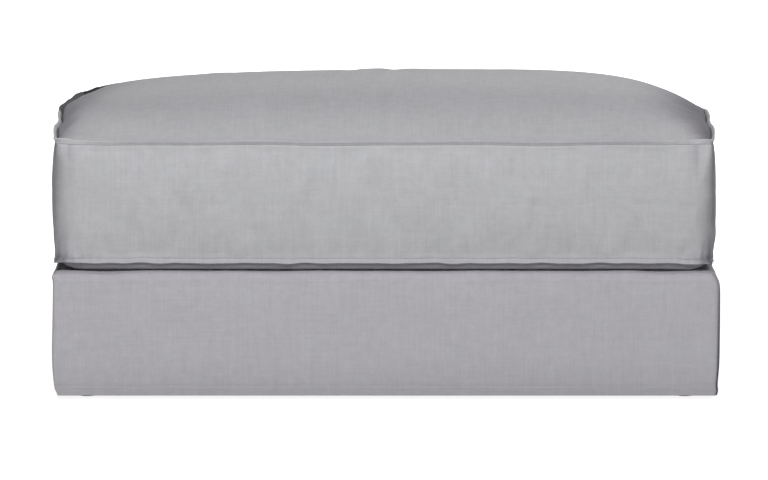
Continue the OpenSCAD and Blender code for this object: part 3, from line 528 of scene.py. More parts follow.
def ring_normals(p):
    """Outward normals in plan at a closed ring's points, drawn out at the corners like a mitre."""
    run = np.roll(p, -1, 0) - p
    run /= np.linalg.norm(run, axis=1, keepdims=True)
    n = np.stack([run[:, 1], -run[:, 0]], -1)
    before = np.roll(n, 1, 0)
    return (n + before) / (1 + (n * before).sum(1, keepdims=True))


def flange_rows(root, z, lean, up, width):
    """Rows round a seam flange, which rises steeply out of its seam and then leans out to its own angle."""
    n = ring_normals(root)
    f = np.linspace(0, 1, FLANGE_STEPS + 1)
    angle = lean[:, None] + (np.radians(90) - lean[:, None]) * (1 - f) ** 2
    step = (width * (f[1] - f[0]))[:, None]
    cos, sin, start = np.cos(angle), np.sin(angle), np.zeros((len(n), 1))
    out, rise = (np.c_[start, np.cumsum(part[:, 1:] * step, 1)] for part in (cos, sin))
    h, rows = FLANGE_T / 2, []
    for k, side in FLANGE_PROFILE:
        tip = FLANGE_TIP if side == 0 else 0.0
        o = out[:, k] + tip * cos[:, k] + side * h * sin[:, k]
        r = rise[:, k] + tip * sin[:, k] - side * h * cos[:, k]
        rows.append(np.column_stack([root + n * o[:, None], z + up * r]))
    rows.append(np.column_stack([root - n * (h + 0.0004), np.full(len(n), z + up * 0.0002)]))
    return rows


def seam_flanges(low, high):
    """Rows of the lower and the upper flange, with how they lean and how wide they are along the seam."""
    x, y = high.T
    dist, inner = corner_distance(x, y), np.abs(x) < SEAM_X - 1e-4
    on_front, on_back = smooth(-y, 0.28, 0.314) * inner, smooth(y, 0.28, 0.314) * inner
    upright, folded = smooth(dist, 0.004, 0.055), bump(dist, 0.022, 0.020) * on_front
    # On the right the flange lies flatter towards the back, and at the back left it stands up
    flat = smooth(y, 0.01, 0.08) * (x > SEAM_X - 0.02)
    rear_left = smooth(y, -0.02, 0.08) * smooth(-x, 0.38, 0.45)
    lean = 47 + upright * (24 * on_front + 22 * on_back) + 42 * folded - 30 * flat + 14 * rear_left
    width = 0.0080 - 0.0022 * on_front * smooth(dist, 0.0, 0.08) - 0.0028 * flat
    width += 0.0014 * (x < 0.02 - SEAM_X) + 0.0034 * bump(x, -0.474, 0.018) * on_back
    width += rear_left * (0.0019 - 0.0012 * bump(dist, 0, 0.012))
    lean_low = 52 + upright * (29 * on_front + 20 * on_back)
    width_low = 0.0066 + waves(x + y, 16, (0.09, 0.05), (0.0004, 0.0003))
    low_rows = flange_rows(low, LOW_Z, np.radians(lean_low), -1, width_low)[::-1]
    return low_rows, flange_rows(high, SEAM_Z, np.radians(lean), 1, width)


# Cushion: wrinkles


def soften(a, times, loop=False):
    """Neighbour averaging along the first two axes; the second may close on itself."""
    for _ in range(times):
        pad = np.pad(a, ((1, 1), (0, 0), (0, 0)), "edge")
        a = (pad[:-2] + 2 * a + pad[2:]) / 4
        pad = np.pad(a, ((0, 0), (1, 1), (0, 0)), "wrap" if loop else "edge")
        a = (pad[:, :-2] + 2 * a + pad[:, 2:]) / 4
    return a


def blend(at, marks_at, values):
    """Linear interpolation of whole rows of values."""
    k = np.clip(np.searchsorted(marks_at, at) - 1, 0, len(marks_at) - 2)
    t = np.clip((at - marks_at[k]) / (marks_at[k + 1] - marks_at[k]), 0, 1)
    t = t.reshape(t.shape + (1,) * (values.ndim - 1))
    return values[k] * (1 - t) + values[k + 1] * t


def simulate(points, faces, pins, frames=20):
    """Lets a closed cloth under pressure, held at some of its points, come to rest."""
    me = bpy.data.meshes.new("settling")
    me.from_pydata(points.tolist(), [], faces.tolist())
    ob = add_object("settling", me)
    ob.vertex_groups.new(name="held").add([int(k) for k in pins], 1.0, "REPLACE")
    cloth = ob.modifiers.new("cloth", "CLOTH")
    cloth.point_cache.frame_start, cloth.point_cache.frame_end = 1, frames
    s = cloth.settings
    s.quality, s.mass, s.air_damping = 6, 0.3, 3
    s.tension_stiffness = s.compression_stiffness = 25
    s.shear_stiffness, s.bending_stiffness = 10, 1.2
    s.shrink_min = -0.014  # a little more cloth than filling
    s.vertex_group_mass = "held"
    s.use_pressure, s.uniform_pressure_force = True, 4
    s.effector_weights.gravity = 0
    for f in range(1, frames + 1):
        bpy.context.scene.frame_set(f)
    done = ob.evaluated_get(bpy.context.evaluated_depsgraph_get())
    out = np.empty(len(points) * 3, np.float32)
    done.data.vertices.foreach_get("co", out)
    bpy.data.objects.remove(ob)
    bpy.data.meshes.remove(me)
    bpy.context.scene.frame_set(1)
    return out.reshape(-1, 3).astype(float)


def settled_cover(step=0.0105, most=0.0024):
    """Wrinkles of the cover from a cloth simulation: functions for the top panel and for the boxing."""
    xm = np.linspace(-SEAM_X, SEAM_X, int(2 * SEAM_X / step) + 1)
    ym = np.linspace(-SEAM_Y, SEAM_Y, int(2 * SEAM_Y / step) + 1)
    levels = np.linspace(0, 1, int(BOXING_H / step) + 1)
    x, _, top, under = panels(xm, ym)
    count = x.size
    top_id = np.arange(count).reshape(x.shape)
    under_id = top_id + count
    rings = np.stack([ring_at(w, xm, ym) for w in levels])
    points = np.r_[top.reshape(-1, 3), under.reshape(-1, 3), rings[1:-1].reshape(-1, 3)]
    points[ring_ids(top_id)] = rings[-1]
    points[ring_ids(under_id)] = rings[0]
    inner = 2 * count + np.arange(rings[1:-1, :, 0].size).reshape(rings[1:-1].shape[:2])
    ids = np.vstack([ring_ids(under_id), inner, ring_ids(top_id)])
    closed = np.c_[ids, ids[:, :1]].T
    points = warp(points)
    faces = np.r_[grid_faces(top_id), grid_faces(closed), grid_faces(under_id)[:, ::-1]]
    pins = np.r_[under_id.ravel(), ring_ids(top_id)]
    moved = simulate(points, faces, pins) - points

    def wrinkles(a, broad, loop):
        a = a - soften(a, broad, loop)
        size = np.linalg.norm(a, axis=-1, keepdims=True)
        return a * (most * np.tanh(size / most) / np.maximum(size, 1e-9))

    on_top, on_side = wrinkles(moved[top_id], 18, False), wrinkles(moved[ids], 9, True)

    def over_top(xs, ys):
        rows = blend(xs, xm, on_top)
        fine = soften(blend(ys, ym, rows.transpose(1, 0, 2)).transpose(1, 0, 2), 3)
        at_x, at_y = smooth(SEAM_X - np.abs(xs), 0, 0.012), smooth(SEAM_Y - np.abs(ys), 0, 0.012)
        return fine * (at_x[:, None] * at_y[None])[..., None]

    def over_side(w):
        rows = blend(w, levels, on_side)
        along, fine_along = ring_places(xm, ym), ring_places(XM, YM)
        loop = np.concatenate([rows, rows[:, :1]], 1).transpose(1, 0, 2)
        fine = blend(fine_along, np.append(along, along[-1] + xm[1] - xm[0]), loop).transpose(1, 0, 2)
        middle = ring(0.5)
        corner = smooth(corner_distance(*middle.T), 0.0, 0.04)
        # The zip's tape keeps the cloth beside it flat
        at_zip = bump(LOW_Z + w * BOXING_H, ZIP_Z, 0.020)[:, None] * (middle[:, 1] > 0.3)
        keep = corner * smooth(np.minimum(w, 1 - w), 0, 0.06)[:, None] * (1 - at_zip)
        return soften(fine, 2, True) * keep[..., None]

    return over_top, over_side


# Cushion: painted shade in crevices and folds

# Shares of painted shade under the cushion and at its corners, and how far the corners' share reaches
UNDER_SHADE, CORNER_SHADE, CORNER_REACH = 0.26, 0.45, 0.03  # under the cushion, and more at its corners


def crevice_shade(shade, top_id, flange_id, plan):
    """Painted shade: darkens the seam behind the standing flange, most at the back left, and the top's edges.
    """
    x, y = plan.T
    on_left, at_back = smooth(-x, SEAM_X - 0.03, SEAM_X - 0.01), smooth(y, 0.28, 0.31)
    on_ends = smooth(np.abs(x), SEAM_X - 0.03, SEAM_X - 0.01)
    # Painted shade on the flange's inner face and in the valley behind it, near black at the back left
    behind = np.maximum(on_ends * smooth(y, -0.312, -0.29), at_back)
    darkest = np.maximum(smooth(y, 0.01, 0.06) * on_left, at_back * smooth(-x, 0.405, 0.44))
    for row, depth in zip(flange_id[-INNER_ROWS:], (0.0, 0.0, 0.05, 0.20, 0.65, 0.88)):
        shade[row] = np.maximum(behind * depth, darkest * 0.92)
    # Painted shade: away from its corners the front flange is darkened to a thin dull line
    front = 0.12 * smooth(-y, 0.29, 0.313) * smooth(corner_distance(x, y), 0.06, 0.11)
    shade[flange_id[2:]] = np.maximum(shade[flange_id[2:]], front)

    x, y = np.meshgrid(XM, YM, indexing="ij")
    e = SEAM_X - np.abs(x)
    # Painted shade in the valley along the top's left, right and back edges
    near = bump(e, 0, 0.0030) * smooth(y + SEAM_Y, 0.002, 0.02)
    shade[top_id] = np.maximum(0.8 * near, 0.7 * bump(SEAM_Y - y, 0, 0.0022))
    # Painted shade along the top's front edge and over the middle of the seat
    front_edge = 0.10 * bump(y + SEAM_Y, 0.002, 0.0045) * smooth(e, 0.06, 0.11)
    seat_middle = 0.125 * bump(y, -0.185, 0.070) * smooth(e, 0.0, 0.08)
    # The left and right ends turn away from the light, and painted shade darkens them further, over a reach
    # that grows towards the back
    reach = 0.018 + np.where(x < 0, 0.19 * np.clip(y + 0.30, 0, 0.28), 0.050 * smooth(y, -0.33, -0.14))
    ends = np.where(x < 0, 0.37, 0.76) * (1 - 0.6 * smooth(y, 0.08, 0.24)) * bump(e, 0, reach)
    for share in (front_edge, seat_middle, ends):
        shade[top_id] += (1 - shade[top_id]) * share


def boxing_shade(shade, belt_id, heights, plan):
    """Painted shade: darkens the lower flange, the boxing's lower corners, in stripes at the puckers, and the
    upright fold under each upper corner.
    """
    x, y = plan.T
    dist = corner_distance(x, y)
    at_corner, wide = bump(dist, 0, 0.016), bump(dist, 0, 0.030)
    pucker = 0.5 + 0.5 * np.cos(dist * 2 * math.pi / 0.0125 + 0.8)
    pucker_shade = 0.26 * at_corner + 0.18 * bump(dist, 0, 0.050) * pucker
    fold_shade = 0.16 * bump(dist, np.where(x < 0, 0.0205, 0.0240), np.where(x < 0, 0.0036, 0.0044))
    # Painted shade on the lower flange's inner side under the cushion, more at its corners
    shade[belt_id[:INNER_ROWS]] = UNDER_SHADE + CORNER_SHADE * bump(dist, 0, CORNER_REACH)
    for row, z in zip(belt_id[INNER_ROWS:], heights[INNER_ROWS:]):
        foot = 0.32 * at_corner * bump(z, LOW_Z + 0.004, 0.034) + 0.06 * (z < LOW_Z)
        foot += 0.05 * wide * bump(z, LOW_Z + 0.02, 0.05) + pucker_shade * bump(z, LOW_Z, 0.007)
        fold = fold_shade * bump(z, SEAM_Z - 0.012, 0.036) * (z < SEAM_Z)
        shade[row] = np.maximum(shade[row], foot + fold)


# Cushion: the cover as one closed form


def build_boxing(w, zip_w):
    """The boxing's rows. At the zip's slot the cloth turns in at two folded edges, behind the tapes."""
    boxing = np.stack([ring_at(value) for value in w])
    slot = np.abs(w - zip_w) * BOXING_H < SLOT - 0.0006
    x, y = boxing[0, :, :2].T
    inward = (y > 0) * (1 - smooth(np.abs(x), ZIP_END - 0.004, ZIP_END))
    boxing[slot, :, 1] -= 0.0090 * inward
    boxing[slot, :, 2] += 0.0018 * inward * np.sign(w[slot] - zip_w)[:, None]
    return boxing


def build_cushion():
    x, y, top, under = panels(XM, YM)
    tuck_in(x, y, top, (0.0005, 0.0015))
    tuck_in(x, y, under, (0.0008, 0.0005))
    top_id = np.arange(x.size).reshape(x.shape)
    under_id = top_id + x.size
    plan = ring(1.0)
    low_rows, top_rows = seam_flanges(ring(0.0), plan)
    w, zip_w = boxing_heights()
    belt = np.stack([*low_rows, *build_boxing(w, zip_w), *top_rows])
    belt_id = 2 * x.size + np.arange(belt.shape[0] * belt.shape[1]).reshape(belt.shape[:2])
    ids = np.vstack([ring_ids(under_id), belt_id, ring_ids(top_id)])
    points = warp(np.r_[top.reshape(-1, 3), under.reshape(-1, 3), belt.reshape(-1, 3)])
    settle_top, settle_boxing = settled_cover()
    points[top_id] += settle_top(XM, YM)
    points[belt_id[len(low_rows):len(low_rows) + len(w)]] += settle_boxing(w)

    # Painted shade for the cover, carried in the 'shade' point attribute: in crevices, under the cushion and
    # at folds and corners
    shade = np.zeros(len(points))
    crevice_shade(shade, top_id, belt_id[-len(top_rows):], plan)
    shade[under_id] = UNDER_SHADE
    boxing_shade(shade, belt_id, belt[:, :, 2], plan)

    closed = np.c_[ids, ids[:, :1]].T
    outline, upright = points[belt_id[len(low_rows) + 2]], points[ids][:, len(plan) // 4]
    along = np.cumsum(np.linalg.norm(np.roll(outline, -1, 0) - outline, axis=1))
    rise = np.cumsum(np.linalg.norm(np.diff(upright, axis=0), axis=1))
    u, v = np.meshgrid(np.r_[0, along], np.r_[0, rise], indexing="ij")
    flat = grid_uv(points[top_id][..., 0], points[top_id][..., 1])
    cover = mesh_object("cushion_cover", points, [
        (grid_faces(top_id), flat, CUSHION_CLOTH),
        (grid_faces(closed), grid_uv(u, v), CUSHION_CLOTH),
        (grid_faces(under_id)[:, ::-1], flat[:, ::-1], CUSHION_CLOTH),
    ], shade)
    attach(cover, "cushion")
    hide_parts("cushion_top", "cushion_bottom", "cushion_boxing", "top_flange", "bottom_flange",
                "zip_strip_upper", "zip_strip_lower")


build_cushion()


# Base cover

HEM_Z, HEM_TOP, CLOTH_T, BORDER = 0.0068, 0.020, 0.0016, 0.070
EDGE_R, DRAWN_IN, DRAWN_Z = 0.014, 0.0045, 0.075  # the deck's edge, and how a side draws in to the hem
FRONT_LEFT_R, FRONT_RIGHT_R, BACK_RIGHT_R, BACK_LEFT_R = 0.005, 0.011, 0.011, 0.009


def cover_levels(depth):
    """(how far in from the side, height) from the hem's edge to the border on the deck."""
    def draw(z):
        return DRAWN_IN * ((DRAWN_Z - z) / 0.067) ** 2 if z < DRAWN_Z else 0.0

    stitch = HEM_TOP + 0.0006
    hem = [(draw(z) + 2 * depth, z) for z in (HEM_Z, HEM_Z + 0.0008, 0.012, 0.016, 0.0185, HEM_TOP)]
    side = [(draw(z) + 0.00015 * bump(z, stitch, 0.0012) + depth, z)
            for z in np.r_[stitch, 0.023, 0.027, np.linspace(0.033, 0.18, 26)]]
    arc = [(EDGE_R - (EDGE_R - depth) * math.cos(a), DECK_Z - EDGE_R + (EDGE_R - depth) * math.sin(a))
           for a in np.radians(np.linspace(0, 90, 10))]
    flat = [(x, DECK_Z - depth) for x in np.linspace(0.019, BORDER, 11)]
    return np.array(hem + side + arc + flat)


def panel_plan(half, out, left_r, right_r, level):
    """Points along one side at a level, from mitre to mitre: (along, out)."""
    def arc(r):
        r = max(r - level, 0.0)
        t = np.radians(np.linspace(45, 90, 7))
        return half - level - r + r * np.cos(t), out - level - r + r * np.sin(t)

    lx, ly = arc(left_r)
    rx, ry = arc(right_r)
    # Between the corners' arcs, even steps of about 6 mm
    count = int(round(2 * half / 0.006))
    x = np.linspace(-(half - 0.02 - level), half - 0.02 - level, count)
    return np.r_[-lx, x, rx[::-1]], np.r_[ly, np.full(count, out - level), ry[::-1]]


def set_base(p):
    """The tight cover's small unevenness: soft side swell, an edge that dips beside the corners."""
    x, y, z = p[..., 0], p[..., 1], p[..., 2]
    out = p.copy()
    belly = smooth(z, 0.0, 0.06) * smooth(DECK_Z - z, 0.0, 0.05)
    out[..., 1] += np.sign(y) * 0.0016 * belly * smooth(np.abs(y), 0.30, 0.32) * (1 - (x / BASE_X) ** 4)
    out[..., 0] += np.sign(x) * 0.0010 * belly * smooth(np.abs(x), 0.48, 0.50) * (1 - (y / BASE_Y) ** 4)
    # The right end draws in at the top and stands out at the foot, and the left end does the reverse
    out[..., 0] -= 0.0050 * bump(z, DECK_Z, 0.016) * smooth(x, 0.475, 0.505)
    out[..., 0] += (0.0008 + 0.0022 * bump(z, 0.012, 0.008)) * smooth(x, 0.46, 0.505)
    out[..., 0] -= (0.0006 + 0.0048 * bump(z, 0.1965, 0.006)) * smooth(-x, 0.465, 0.50)
    out[..., 0] += (0.0026 * smooth(z, 0.05, 0.19) + 0.0035 * bump(z, 0.006, 0.008)) * smooth(-x, 0.45, 0.505)
    rim = smooth(z, 0.17, 0.195) * smooth(np.maximum(np.abs(x) / BASE_X, np.abs(y) / BASE_Y), 0.80, 0.96)
    dip = bump(x, -0.435, 0.035) + bump(x, 0.42, 0.04)
    out[..., 2] -= rim * (0.0036 + 0.0026 * dip + waves(x + 1.7 * y, 8, (0.23, 0.12), (0.0004, 0.0003)))
    return out


def cover_shade(points, inset):
    """Painted shade: darkens the rounded top edge, the hem and the front right corner, which turns away from
    the light.
    """
    x, y, z = points.T
    edges = 0.09 * bump(z, 0.193, 0.008) + 0.06 * (1 - smooth(z, 0.019, 0.032))
    turned = smooth(x + inset, BASE_X - 0.0055, BASE_X - 0.0010) * smooth(inset - y, 0.304, 0.319)
    return edges + (0.24 + 0.56 * smooth(0.18 - z, 0, 0.08)) * turned * (inset < 0.012)


def build_cover(name, half, out, left_r, right_r, turn):
    """One panel of the base cover: an outer and an inner skin, joined round the rim."""
    def skin(depth):
        rows = [panel_plan(half, out, left_r, right_r, level) + (z,) for level, z in cover_levels(depth)]
        return np.stack([np.column_stack([x, -y, np.full(len(x), z)]) for x, y, z in rows], 1)

    outer, inner = skin(0.0), skin(CLOTH_T)
    n, m = outer.shape[:2]
    ids = np.arange(n * m).reshape(n, m)
    inside = ids + n * m
    c, s = round(math.cos(turn)), round(math.sin(turn))
    points = np.r_[outer.reshape(-1, 3), inner.reshape(-1, 3)] @ [[c, s, 0], [-s, c, 0], [0, 0, 1]]
    rise = np.r_[0, np.cumsum(np.linalg.norm(np.diff(outer[n // 2], axis=0), axis=1))]
    rims = [grid_faces(np.stack(pair, 1))[:, ::-1] for pair in (
        (ids[:, 0], inside[:, 0]), (inside[:, -1], ids[:, -1]), (inside[0], ids[0]), (ids[-1], inside[-1]))]
    cloth = grid_uv(outer[..., 0], np.broadcast_to(rise, (n, m)))
    faces = np.concatenate([grid_faces(inside)[:, ::-1], *rims])
    uvs = np.concatenate([cloth[:, ::-1], *(np.full((len(r), 4, 2), points[r[0, 0], 0]) for r in rims)])
    # Painted shade along the cover's edges and at its front right corner
    shade = cover_shade(points, np.tile(cover_levels(0.0)[:, 0], 2 * n))
    ob = mesh_object(name + "_cloth", set_base(points),
                     [(grid_faces(ids), cloth, BASE_CLOTH), (faces, uvs, BASE_CLOTH)], shade)
    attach(ob, "base")
    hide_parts(name)


build_cover("cover_front", BASE_X, BASE_Y, FRONT_LEFT_R, FRONT_RIGHT_R, 0.0)
build_cover("cover_right", BASE_Y, BASE_X, FRONT_RIGHT_R, BACK_RIGHT_R, math.pi / 2)
build_cover("cover_back", BASE_X, BASE_Y, BACK_RIGHT_R, BACK_LEFT_R, math.pi)
build_cover("cover_left", BASE_Y, BASE_X, BACK_LEFT_R, FRONT_LEFT_R, -math.pi / 2)


# Filling, linings and hardware

CORE_Z, FIBRE_TOP_Z, FIBRE_LOW_Z = (0.2295, 0.3830), (0.3845, 0.3890), (0.2225, 0.2288)
FELT_T, PAD_X, PAD_Y, PAD_Z = 0.003, 0.5054, 0.3274, (0.1672, 0.1974)
LINING_Z, TAPE_END = (0.1981, 0.1995), 0.012


def build_block(name, low, high, r, mat, step=0.02, shape=None, seed=1, rough=0.0004):
    """A closed soft block with rounded edges, over a lattice of marks along each axis."""
    axes = []
    for a, b in zip(low, high):
        inner = max(1, int(round((b - a - 2 * r) / step)))
        edge = r * np.array([0, 0.18, 0.45, 0.75])
        axes.append(np.r_[a + edge, np.linspace(a + r, b - r, inner + 1), b - edge[::-1]])
    shapes = [len(a) for a in axes]
    grid = np.stack(np.meshgrid(*axes, indexing="ij"), -1)
    skin = np.zeros(shapes, bool)
    for k in range(3):
        skin[(slice(None),) * k + ([0, -1],)] = True
    ids = np.full(shapes, -1)
    ids[skin] = np.arange(skin.sum())
    p = grid[skin]
    core = np.clip(p, np.array(low) + r, np.array(high) - r)
    d = p - core
    way = d / np.maximum(np.linalg.norm(d, axis=1, keepdims=True), 1e-9)
    lumps = waves(p[:, 0] + 0.7 * p[:, 1], seed, (0.13, 0.07), (0.6, 0.4))
    lumps *= waves(p[:, 1] - 0.4 * p[:, 0] + p[:, 2], seed + 1, (0.11, 0.06), (0.6, 0.4))
    p = core + way * (r - rough * (1 + np.clip(lumps, -1, 1))[:, None])
    if shape:
        p = shape(p)
    parts = []
    for axis, flip in ((0, False), (1, True), (2, False)):
        others = [k for k in range(3) if k != axis]
        for side in (0, -1):
            f = grid_faces(np.take(ids, side, axis))
            w = np.take(grid, side, axis)
            uv = grid_uv(w[..., others[0]], w[..., others[1]])
            if flip != (side == 0):
                f, uv = f[:, ::-1], uv[:, ::-1]
            parts.append((f, uv, mat))
    return mesh_object(name, p, parts)


def dress(ob, body, slot, *nodes):
    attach(ob, body)
    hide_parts(*nodes)
    return ob


def raised(p, rise):
    return p + np.outer(rise, (0, 0, 1))


def build_filling():
    """The cushion's foam block and its two fibre layers, set like the cover."""
    in_x, in_y = SEAM_X - 0.007, SEAM_Y - 0.007

    def layer(name, z, *values):
        return build_block(name, (-in_x, -in_y, z[0]), (in_x, in_y, z[1]), *values)

    core = layer("foam_block", CORE_Z, 0.012, FOAM, 0.02, warp, 21)
    dress(core, "cushion", "foam", "cushion_core")

    def upper(p):
        rise = np.clip((p[:, 2] - FIBRE_TOP_Z[0]) / np.ptp(FIBRE_TOP_Z), 0, 1)
        x = np.clip(p[:, 0] * SEAM_X / in_x, -SEAM_X, SEAM_X)
        y = np.clip(p[:, 1] * SEAM_Y / in_y, -SEAM_Y, SEAM_Y)
        return warp(raised(p, rise * (crown(x, y) - 0.0035)))

    top = layer("fibre_layer_top", FIBRE_TOP_Z, 0.002, FIBRE, 0.012, upper, 23)
    dress(top, "cushion", "fibre", "fibre_top")

    def lower(p):
        drop = np.clip((0.2290 - p[:, 2]) / 0.006, 0, 1)
        return warp(raised(p, -0.95 * drop * underside(p[:, 0], p[:, 1])))

    low = layer("fibre_layer_bottom", FIBRE_LOW_Z, 0.002, FIBRE, 0.012, lower, 25)
    dress(low, "cushion", "fibre", "fibre_bottom")


def felt_height(y):
    """The felt pad's upper face over the arched springs, as the solids have it."""
    low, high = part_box("felt_pad")
    return low[2] + FELT_T + (high[2] - low[2] - FELT_T) * (1 - (y / high[1]) ** 2)


def build_base_padding():
    """The felt over the springs, the deck's foam and the wadding round the frame."""
    low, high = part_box("felt_pad")

    def over_springs(p):
        return raised(p, felt_height(p[:, 1]) - FELT_T)

    start, end = (low[0], low[1], 0.0001), (high[0], high[1], FELT_T)
    felt = build_block("felt_over_springs", start, end, 0.0013, FELT, 0.015, over_springs, 31, 0.0002)
    dress(felt, "base", "felt", "felt_pad")

    def deck(p):
        lift = np.clip((0.1775 - p[:, 2]) / 0.010, 0, 1)
        room = np.maximum(felt_height(np.clip(p[:, 1], low[1], high[1])) + 0.0004, PAD_Z[0])
        inside = (np.abs(p[:, 0]) < high[0] + 0.001) & (np.abs(p[:, 1]) < high[1] + 0.001)
        return set_base(raised(p, inside * lift * (room - PAD_Z[0])))

    start, end = (-PAD_X, -PAD_Y, PAD_Z[0]), (PAD_X, PAD_Y, PAD_Z[1])
    foam = build_block("deck_pad", start, end, 0.0145, FOAM, 0.018, deck, 33)
    dress(foam, "base", "foam", "deck_foam")
    for k, node in enumerate(("front_wadding", "back_wadding", "left_wadding", "right_wadding")):
        piece = build_block(node + "_fibre", *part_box(node), 0.0032, FIBRE, 0.02, None, 41 + k, 0.0003)
        dress(piece, "base", "fibre", node)


def build_linings():
    """The plain lining in the middle of the deck, and the zip's tapes."""
    low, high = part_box("deck_cloth")
    start, end = (low[0], low[1], LINING_Z[0]), (high[0], high[1], LINING_Z[1])
    lining = build_block("deck_lining", start, end, 0.0006, LINING, 0.02, None, 51, 0.0001)
    dress(lining, "base", "lining_cloth", "deck_cloth")
    low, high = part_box("zip_tapes")
    start, end = (low[0] - TAPE_END, low[1], low[2]), (high[0] + TAPE_END, high[1], high[2])
    tapes = build_block("zip_tape_cloth", start, end, 0.0003, ZIP_TAPE, 0.02, None, 53, 0.00003)
    dress(tapes, "cushion", "zip_tape", "zip_tapes")


def build_dust_cover():
    """The cloth under the frame: stapled round its edge, cut out round the feet, sagging a little between."""
    low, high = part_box("dust_cover")
    foot_low, foot_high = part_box("foot_front_right")
    gap = 0.0006
    near, far = foot_low[0] - gap, foot_high[0] + gap
    close, away = -foot_high[1] - gap, -foot_low[1] + gap

    def across(edge, outer, inner, count):
        half = np.r_[edge, np.linspace(outer, inner, 5), np.linspace(inner - 0.02, 0, count)]
        middle = (half[1:] + half[:-1]) / 2
        cut = np.abs(middle - (inner + outer) / 2) < (outer - inner) / 2
        return np.r_[-half, half[::-1][1:]], np.r_[cut, cut[::-1]]

    (xs, cut_x), (ys, cut_y) = across(high[0], far, near, 20), across(high[1], away, close, 12)
    x, y = np.meshgrid(xs, ys, indexing="ij")
    sag = 0.0028 * (1 - (x / high[0]) ** 4) * (1 - (y / high[1]) ** 4)
    sag *= 1 + waves(x + y, 61, (0.21, 0.13), (0.15, 0.1))
    upper = np.stack([x, y, high[2] - 0.0001 - sag], -1).reshape(-1, 3)
    n, m = x.shape
    ids = np.arange(n * m).reshape(n, m)
    keep = ~(cut_x[:, None] & cut_y[None]).ravel()
    top, uv = grid_faces(ids)[keep], grid_uv(x, y)[keep]
    # A rim face stands at each edge that only one face has
    edges = {(a, b): True for face in top for a, b in zip(face, np.roll(face, -1))}
    rims = [(b, a, a + n * m, b + n * m) for a, b in edges if (b, a) not in edges]
    points = np.r_[upper, upper - [0, 0, high[2] - low[2]]]
    faces = np.r_[top, top[:, ::-1] + n * m, np.array(rims)]
    uvs = np.r_[uv, uv[:, ::-1], np.zeros((len(rims), 4, 2))]
    used, order = np.unique(faces, return_inverse=True)
    ob = mesh_object("dust_cover_cloth", points[used], [(order.reshape(-1, 4), uvs, DUST_CLOTH)])
    dress(ob, "base", "dust_cloth", "dust_cover")


def finish_hardware():
    """Procedural finishes for the pieces that stay as the solids have them."""
    kinds = (
        ("frame_wood", wood_material, "frame_wood_x", (214, 184, 140), 0),
        ("frame_wood_y", wood_material, "frame_wood_y", (214, 184, 140), 1),
        ("foot_wood", wood_material, "foot_wood", (120, 84, 58), 2),
        ("dowel_wood", wood_material, "dowel_wood", (222, 196, 156), 0),
        ("spring_steel", metal_material, "spring_steel", (120, 122, 126), 0.42),
        ("hardware_steel", metal_material, "zinc_steel", (196, 198, 202), 0.34, 240),
        ("zip_metal", metal_material, "zip_metal", (186, 188, 192), 0.28, 600),
        ("zip_plastic", plastic_material, "zip_plastic", (158, 158, 162), 0.35),
        ("glide_plastic", plastic_material, "glide_plastic", (232, 231, 228), 0.45),
    )
    finish = {key: kind(name, srgb(*color), *rest) for key, kind, name, color, *rest in kinds}
    for name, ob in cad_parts.items():
        for slot in ob.material_slots:
            key = slot.material.name.split(".")[0] if slot.material else ""
            if name in ("left_rail", "right_rail", "middle_brace"):
                key += "_y"
            if key in finish:
                slot.material = finish[key]


build_filling()
build_base_padding()
build_linings()
build_dust_cover()
finish_hardware()


# Floor, light and camera

# (name, place, target, size, watts)
LAMPS = (
    ("key", (-0.5, -4.0, 3.3), (0, 0, 0.25), (1.6, 1.2), 201),
    ("front_fill", (-1.0, -6.0, 0.9), (0, 0, 0.2), (2.0, 1.2), 46),
    ("side_fill", (4.6, -1.6, 1.1), (0.3, 0, 0.25), (1.5, 1.5), 13),
    ("back_fill", (1.8, 4.2, 2.7), (0, 0, 0.25), (2.0, 1.2), 145),
)
CAMERA_AT, PITCH_DOWN, YAW = (0.0, -7.2438, 1.2950), 8.616, 0.0224
SENSOR_MM, LENS_MM = 36, 216.2


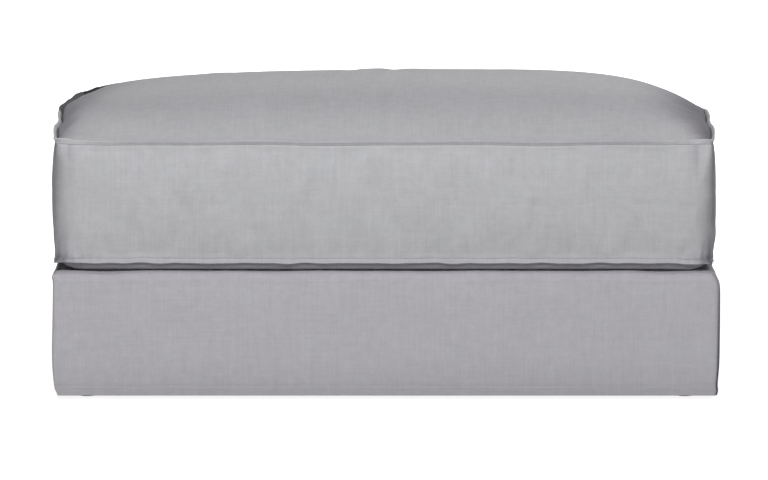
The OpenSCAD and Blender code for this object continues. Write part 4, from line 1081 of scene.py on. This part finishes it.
def build_floor(half=40):
    """Nearly white to the camera, whiter away from the stool, and grey in the light it throws back."""
    me = bpy.data.meshes.new("floor")
    corners = [(-half, -half, 0), (half, -half, 0), (half, half, 0), (-half, half, 0)]
    me.from_pydata(corners, [], [(0, 1, 2, 3)])
    n = Nodes(bpy.data.materials.new("floor"))
    n.tree.nodes.remove(n.bsdf)
    away = n.new("ShaderNodeVectorMath", n.place(), operation="LENGTH").outputs["Value"]
    far = n.times(n.less(away, 0.6), 1.2, True)
    glow = n.new("ShaderNodeEmission", (1, 1, 1, 1), n.add(n.times(far, 0.3), 0.895)).outputs[0]
    grey = n.new("ShaderNodeBsdfDiffuse", (0.42, 0.42, 0.42, 1)).outputs[0]
    seen = n.new("ShaderNodeAddShader", grey, glow).outputs[0]
    plain = n.new("ShaderNodeBsdfDiffuse", (0.32, 0.32, 0.32, 1)).outputs[0]
    path = n.new("ShaderNodeLightPath").outputs
    clear = n.math("MAXIMUM", path["Is Camera Ray"], path["Is Glossy Ray"])
    clear = n.math("MAXIMUM", clear, path["Is Transmission Ray"])
    mix = n.new("ShaderNodeMixShader", clear, plain, seen).outputs[0]
    n.put(mix, n.tree.nodes["Material Output"].inputs["Surface"])
    me.materials.append(n.owner)
    add_object("floor", me)


def build_world():
    """White where the camera sees it, with hardly any light of its own."""
    n = Nodes(bpy.data.worlds.new("studio"))
    bpy.context.scene.world = n.owner
    n.tree.nodes.clear()
    path = n.new("ShaderNodeLightPath").outputs
    clear = n.math("MAXIMUM", path["Is Camera Ray"], path["Is Transmission Ray"])
    white = n.new("ShaderNodeBackground", (1, 1, 1, 1), 1.0).outputs[0]
    fill = n.new("ShaderNodeBackground", (0.97, 0.98, 1.0, 1), 0.04).outputs[0]
    n.new("ShaderNodeOutputWorld", n.new("ShaderNodeMixShader", clear, fill, white).outputs[0])


def add_lamp(name, at, target, size, watts):
    data = bpy.data.lights.new(name, "AREA")
    data.shape, data.energy = "RECTANGLE", watts
    data.size, data.size_y = size
    ob = add_object(name, data)
    ob.location = at
    ob.rotation_euler = Vector(np.subtract(target, at)).to_track_quat("-Z", "Y").to_euler()


def add_camera():
    data = bpy.data.cameras.new("camera")
    ob = add_object("camera", data)
    data.sensor_width, data.lens, data.clip_end = SENSOR_MM, LENS_MM, 200
    ob.location = CAMERA_AT
    ob.rotation_euler = (math.radians(90 - PITCH_DOWN), 0, math.radians(YAW))
    bpy.context.scene.camera = ob


build_floor()
build_world()
for values in LAMPS:
    add_lamp(*values)
add_camera()
bpy.context.scene.view_settings.view_transform = "Standard"
